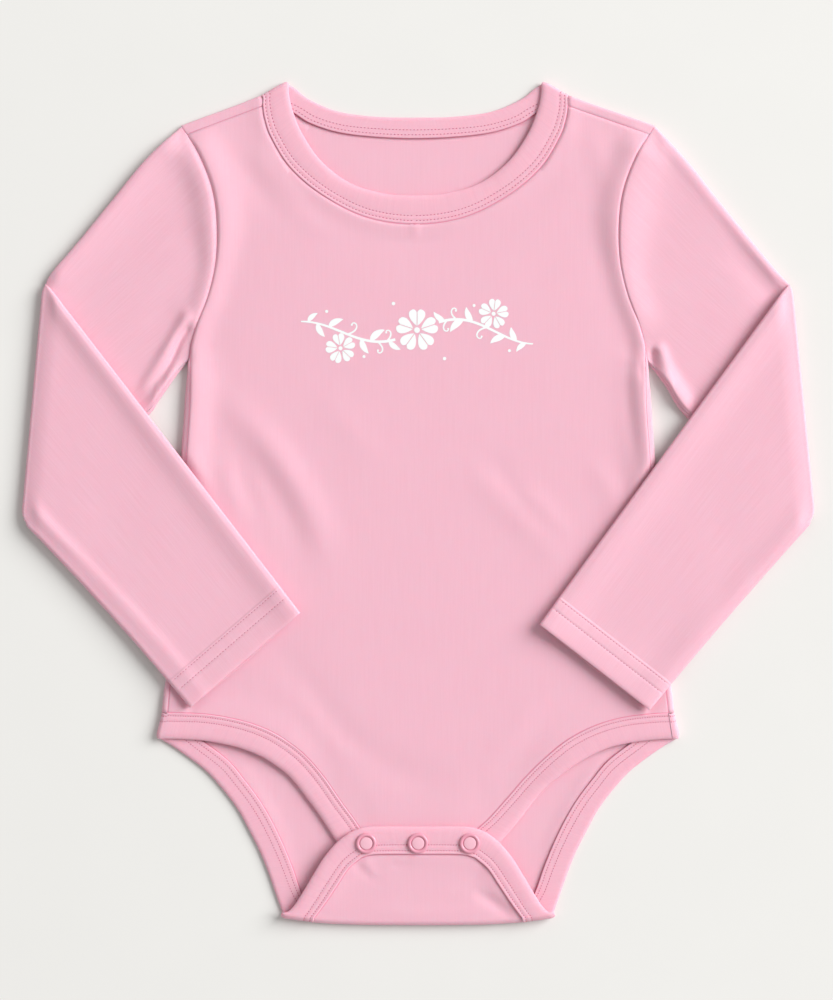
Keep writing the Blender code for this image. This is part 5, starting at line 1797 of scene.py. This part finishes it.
# -------- snaps
@dataclass
class Snap:
    """A ring snap: a domed disc inside a rolled ring, closed on the socket under the flap."""

    node: str
    diameter: float = 10.4
    disc: float = 6.3
    thickness: float = 1.2
    segments: int = 64

    def profile(self) -> list[Pair]:
        """Half section, from the axis on top, over the disc and ring, to the axis below."""
        disc, rim, top = self.disc / 2, self.diameter / 2, self.thickness
        dome = [(disc * share, top * (0.78 - 0.16 * share ** 2)) for share in evenly(6)]
        valley = [(disc + 0.06, top * 0.5), (disc + 0.12, top * 0.3), (disc + 0.3, top * 0.3)]
        middle, radius = (disc + 0.3 + rim) / 2, (rim - disc - 0.3) / 2
        ring = []
        for angle in np.linspace(math.radians(165), math.radians(-20), 12):
            ring.append((middle + radius * math.cos(angle), top * 0.42 + top * 0.58 * math.sin(angle)))
        return dome + valley + ring + [(rim - 0.05, 0.0), (0.0, 0.0)]

    def build(self, finishes: Wardrobe) -> Object:
        """Turn the cap on its solid's place."""
        low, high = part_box(self.node)
        centre = (Vector(low) + Vector(high)) / 2
        maker = bmesh.new()
        corners = [maker.verts.new((centre.x + radius * MM, centre.y, low[2] + height * MM))
                   for radius, height in self.profile()]
        edges = [maker.edges.new(pair) for pair in zip(corners, corners[1:])]
        bmesh.ops.spin(maker, geom=corners + edges, cent=(centre.x, centre.y, 0.0), axis=(0, 0, 1),
                       angle=math.tau, steps=self.segments, use_merge=True)
        bmesh.ops.remove_doubles(maker, verts=maker.verts, dist=0.004 * MM)
        name = self.node.replace("snap_cap", "ring_snap")
        piece = finish_piece(maker, name, finishes.enamel, [self.node])
        piece.data.materials.append(finishes.disc)
        for face in piece.data.polygons:
            inside = math.hypot(face.center.x - centre.x, face.center.y - centre.y) < self.disc / 2 * MM
            face.material_index = int(inside and face.center.z > low[2] + self.thickness / 3 * MM)
        return piece


# -------- print
@dataclass
class Sprig:
    """A white print across the chest: blossoms on a waving stem, with leaves and tendrils."""

    centre: Pair = (-0.5, 88.0)
    half_length: float = 59.0
    wave: float = 6.5
    waves: float = 1.5
    line: float = 1.5
    ink: float = 0.05
    film: float = 0.0012  # step between marks that cross
    stem_gap: Pair = (0.411, 0.589)
    leaf: Pair = (9.4, 3.5)
    leaf_lean: float = 0.85
    tendril_lean: float = 0.7
    # share along the stem, side, size
    leaves: tuple[tuple[float, int, float], ...] = (
        (0.03, 1, 0.72), (0.07, -1, 0.86), (0.12, 1, 0.9), (0.26, -1, 0.9), (0.3, 1, 1.0), (0.38, -1, 0.8),
        (0.62, 1, 0.8), (0.7, -1, 1.0), (0.74, 1, 0.9), (0.88, -1, 0.92), (0.93, 1, 0.84), (0.97, -1, 0.72))
    # share along the stem, side, length, curl
    tendrils: tuple[tuple[float, int, float, float], ...] = (
        (0.2, 1, 15.0, 4.4), (0.37, 1, 12.0, 4.2), (0.63, -1, 12.0, 4.2), (0.8, -1, 15.0, 4.4),
        (0.33, -1, 13.0, 4.6), (0.67, 1, 13.0, 4.6))
    # share along the stem, distance from it, size, turn
    blossoms: tuple[tuple[float, float, float, float], ...] = (
        (0.17, -8.6, 15.0, 0.5), (0.5, 0.5, 21.0, math.pi / 2), (0.83, 8.6, 15.0, 0.2))
    # place from the centre, radius
    dots: tuple[tuple[float, float, float], ...] = (
        (-46, 10, 0.8), (-27, -13, 0.8), (-12, 14, 0.9), (14, -14, 0.9), (29, 13, 0.8), (47, -10, 0.8))
    petal: tuple[Pair, ...] = (
        (0.105, 0.009), (0.165, 0.08), (0.25, 0.15), (0.345, 0.196), (0.435, 0.19), (0.492, 0.13),
        (0.497, 0.06), (0.44, 0.009))
    laid: int = 0

    def stem_at(self, share: float) -> Array:
        """A point of the stem, 0 at its left end and 1 at its right."""
        x = self.half_length * (2.0 * share - 1.0)
        y = self.wave * math.sin(2.0 * math.pi * self.waves * (share - 0.5)) * (0.75 + 0.25 * share)
        return np.array([self.centre[0] + x, self.centre[1] + y])

    def way_at(self, share: float) -> float:
        """The stem's direction, as an angle."""
        ahead = self.stem_at(min(share + 0.01, 1.0)) - self.stem_at(max(share - 0.01, 0.0))
        return math.atan2(ahead[1], ahead[0])

    def lay(self, maker: BMesh, plan: Array) -> None:
        """Add a grid of plan points, laid on the front, just over the marks before it."""
        self.laid += 1
        fill_grid(maker, raised(
            plan, lambda points: FRONT.at(points) + CUT.cloth / 2 + self.ink + self.film * self.laid))

    def ribbon(self, maker: BMesh, line: Array, widths: Array) -> None:
        """Add a drawn line of changing width."""
        aside = aside_of(line) * widths[:, None] / 2
        self.lay(maker, np.stack([line - aside, line, line + aside], axis=0))

    def grown(self, root: Array, turn: Array, length: float, shrink: Array | float = 1.0) -> Array:
        """A line that grows from its root in steps at these angles."""
        steps = np.column_stack([np.cos(turn), np.sin(turn)]) * length / (len(turn) - 1) * shrink
        return root + np.vstack([[0.0, 0.0], np.cumsum(steps[1:], axis=0)])

    def add_leaf(self, maker: BMesh, root: Array, angle: float, size: float, bend: float) -> None:
        """Add a slender leaf that grows from its root at an angle and bends a little."""
        length, width = (measure * size for measure in self.leaf)
        along = evenly(15)
        turn = angle + bend * (along - 0.5) * 4.0
        line = self.grown(root, turn, length)
        half = width / 2 * np.sin(math.pi * along ** 0.8) ** 0.85
        half[[0, -1]] = 0.03
        aside = np.column_stack([-np.sin(turn), np.cos(turn)])
        across = half[:, None] * aside
        self.lay(maker, np.stack([line + across * share for share in (-1.0, -0.5, 0.0, 0.5, 1.0)]))

    def dot(self, maker: BMesh, centre: Array, radius: float) -> None:
        """Add a round dot."""
        angles = np.linspace(0.0, math.tau, 25)
        ring = np.column_stack([np.cos(angles), np.sin(angles)])
        self.lay(maker, np.stack([centre + ring * size for size in (0.02, radius * 0.6, radius)]))

    def blossom(self, maker: BMesh, centre: Array, size: float, turn: float) -> None:
        """Add a blossom of five notched petals, each parted by its vein, round a dot."""
        shares = evenly(28)
        side = at_shares(smooth_line(self.petal), shares)
        vein = side[0] + (side[-1] - side[0]) * shares[:, None]
        halves = np.stack([vein + (side - vein) * share for share in (0.0, 0.35, 0.7, 1.0)]) * size
        for petal in range(5):
            angle = turn + math.tau * petal / 5
            way = np.array([math.cos(angle), math.sin(angle)])
            aside = np.array([-way[1], way[0]])
            for hand in (-1.0, 1.0):
                self.lay(maker, centre + halves[..., :1] * way + hand * halves[..., 1:] * aside)
        self.dot(maker, centre, 0.07 * size)

    def add_tendril(self, maker: BMesh, root: Array, angle: float, length: float, curl: float) -> None:
        """Add a thin line that curls up at its end."""
        along = evenly(39)
        turn = angle + curl * along ** 2
        line = self.grown(root, turn, length, (1.0 - 0.55 * along)[:, None])
        self.ribbon(maker, line, self.line * (0.62 - 0.22 * along))
        self.dot(maker, line[-1], 0.52)

    def build(self, finishes: Wardrobe) -> Object:
        """Make the print."""
        maker = bmesh.new()
        shares = evenly(160)
        stem = np.array([self.stem_at(share) for share in shares])
        widths = self.line * (0.45 + 0.5 * np.sin(math.pi * shares) ** 0.5)
        for stretch in (shares <= self.stem_gap[0], shares >= self.stem_gap[1]):
            self.ribbon(maker, stem[stretch], widths[stretch])
        for share, side, size in self.leaves:
            lean = self.way_at(share) + side * (self.leaf_lean if share < 0.5 else math.pi - self.leaf_lean)
            self.add_leaf(maker, self.stem_at(share), lean, size, -0.2 * side)
        for share, side, length, curl in self.tendrils:
            lean = self.tendril_lean if share < 0.5 else math.pi - self.tendril_lean
            turned = side * curl * (1.0 if share < 0.5 else -1.0)
            self.add_tendril(maker, self.stem_at(share), self.way_at(share) + side * lean, length, turned)
        for share, offset, size, turn in self.blossoms:
            self.blossom(maker, self.stem_at(share) + np.array([0.0, offset]), size, turn)
        for x, y, radius in self.dots:
            self.dot(maker, np.array(self.centre) + (x, y), radius)
        return finish_piece(maker, "printed_sprig", finishes.ink)


# -------- stage
@dataclass
class Stage:
    """A pale floor, soft light from the upper right and a long lens straight above."""

    floor_reach: float = 3.0
    aim: Pair = (-0.77, 2.04)
    frame_height: float = 510.0
    lens: float = 110.0
    sensor: float = 36.0
    key_azimuth: float = 24.0
    key_height: float = 34.0
    key_distance: float = 10.0
    key_size: float = 7.4
    key_power: float = 1295.0
    fill: float = 0.45
    fill_colour: tuple[float, float, float] = (1.0, 0.995, 0.985)

    def build(self) -> None:
        """Make the floor, the lights and the camera."""
        maker = bmesh.new()
        bmesh.ops.create_grid(maker, x_segments=2, y_segments=2, size=self.floor_reach)
        mesh = bpy.data.meshes.new("floor")
        maker.to_mesh(mesh)
        maker.free()
        paper = PlainFinish("matt backdrop paper", "E8E7E4", "E6E5E2", 40.0, 0.9, specular=0.1)
        mesh.materials.append(paper.build())
        floor = placed("floor", mesh)
        self.light()
        camera = placed("camera", bpy.data.cameras.new("camera"))
        camera.data.lens = self.lens
        camera.data.sensor_width = self.sensor
        distance = self.frame_height * MM * self.lens / self.sensor
        camera.location = (self.aim[0] * MM, self.aim[1] * MM, distance)
        camera.data.clip_start, camera.data.clip_end = 0.05, 20.0
        bpy.context.scene.camera = camera

    def light(self) -> None:
        """A large soft key light and an even fill."""
        azimuth, height = math.radians(self.key_azimuth), math.radians(self.key_height)
        level = math.cos(height)
        way = Vector((math.cos(azimuth) * level, math.sin(azimuth) * level, math.sin(height)))
        lamp = bpy.data.lights.new("key", "AREA")
        lamp.shape = "DISK"
        lamp.size = self.key_size
        lamp.energy = self.key_power
        key = placed("key", lamp)
        key.location = way * self.key_distance
        key.rotation_mode = "QUATERNION"
        key.rotation_quaternion = way.to_track_quat("Z", "Y")
        world = bpy.data.worlds.new("studio")
        world.use_nodes = True
        background = world.node_tree.nodes["Background"]
        background.inputs["Color"].default_value = (*self.fill_colour, 1.0)
        background.inputs["Strength"].default_value = self.fill
        bpy.context.scene.world = world
        bpy.context.scene.view_settings.view_transform = "Standard"


def dress_sockets(finishes: Wardrobe, nodes: dict[str, Object]) -> None:
    """Give the snap sockets, whose solids are right as they are, the enamel of the caps."""
    for name in ("snap_socket_left", "snap_socket_middle", "snap_socket_right"):
        nodes[name].data.materials.clear()
        nodes[name].data.materials.append(finishes.enamel)


def main() -> None:
    """Dress the frame: the stage, the garment's pieces in place of its solids, their stitches, the snaps
    and the print.
    """
    logging.basicConfig(level=logging.INFO, format="%(message)s")
    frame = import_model()
    finishes = Wardrobe()
    Stage().build()
    BackPanel().build(finishes)
    FrontPanel().build(finishes)
    cuffs = []
    for sleeve in sleeves():
        sleeve.build(finishes)
        cuffs += [(line, None) for line in sleeve.hem_lines()]
    bindings = [
        NeckBinding(),
        FrontLegBinding(name="leg_band_left", nodes=("front_leg_binding_left",), side=Side.LEFT),
        FrontLegBinding(name="leg_band_right", nodes=("front_leg_binding_right",), side=Side.RIGHT),
        BackLegBinding(),
    ]
    for binding in bindings:
        binding.build(finishes)
        Stitches(binding.pitch, binding.dash).build(
            binding.name + "_stitches", binding.stitch_lines(), finishes, "binding_jersey")
    Stitches().build("cuff_stitches", cuffs, finishes, "jersey")
    # painted shade in the ditches of the seams
    PaintedSeamShade().build(finishes)
    for place in ("left", "middle", "right"):
        Snap("snap_cap_" + place).build(finishes)
    Sprig().build(finishes)
    dress_sockets(finishes, frame["nodes"])


if __name__ == "__main__":
    main()
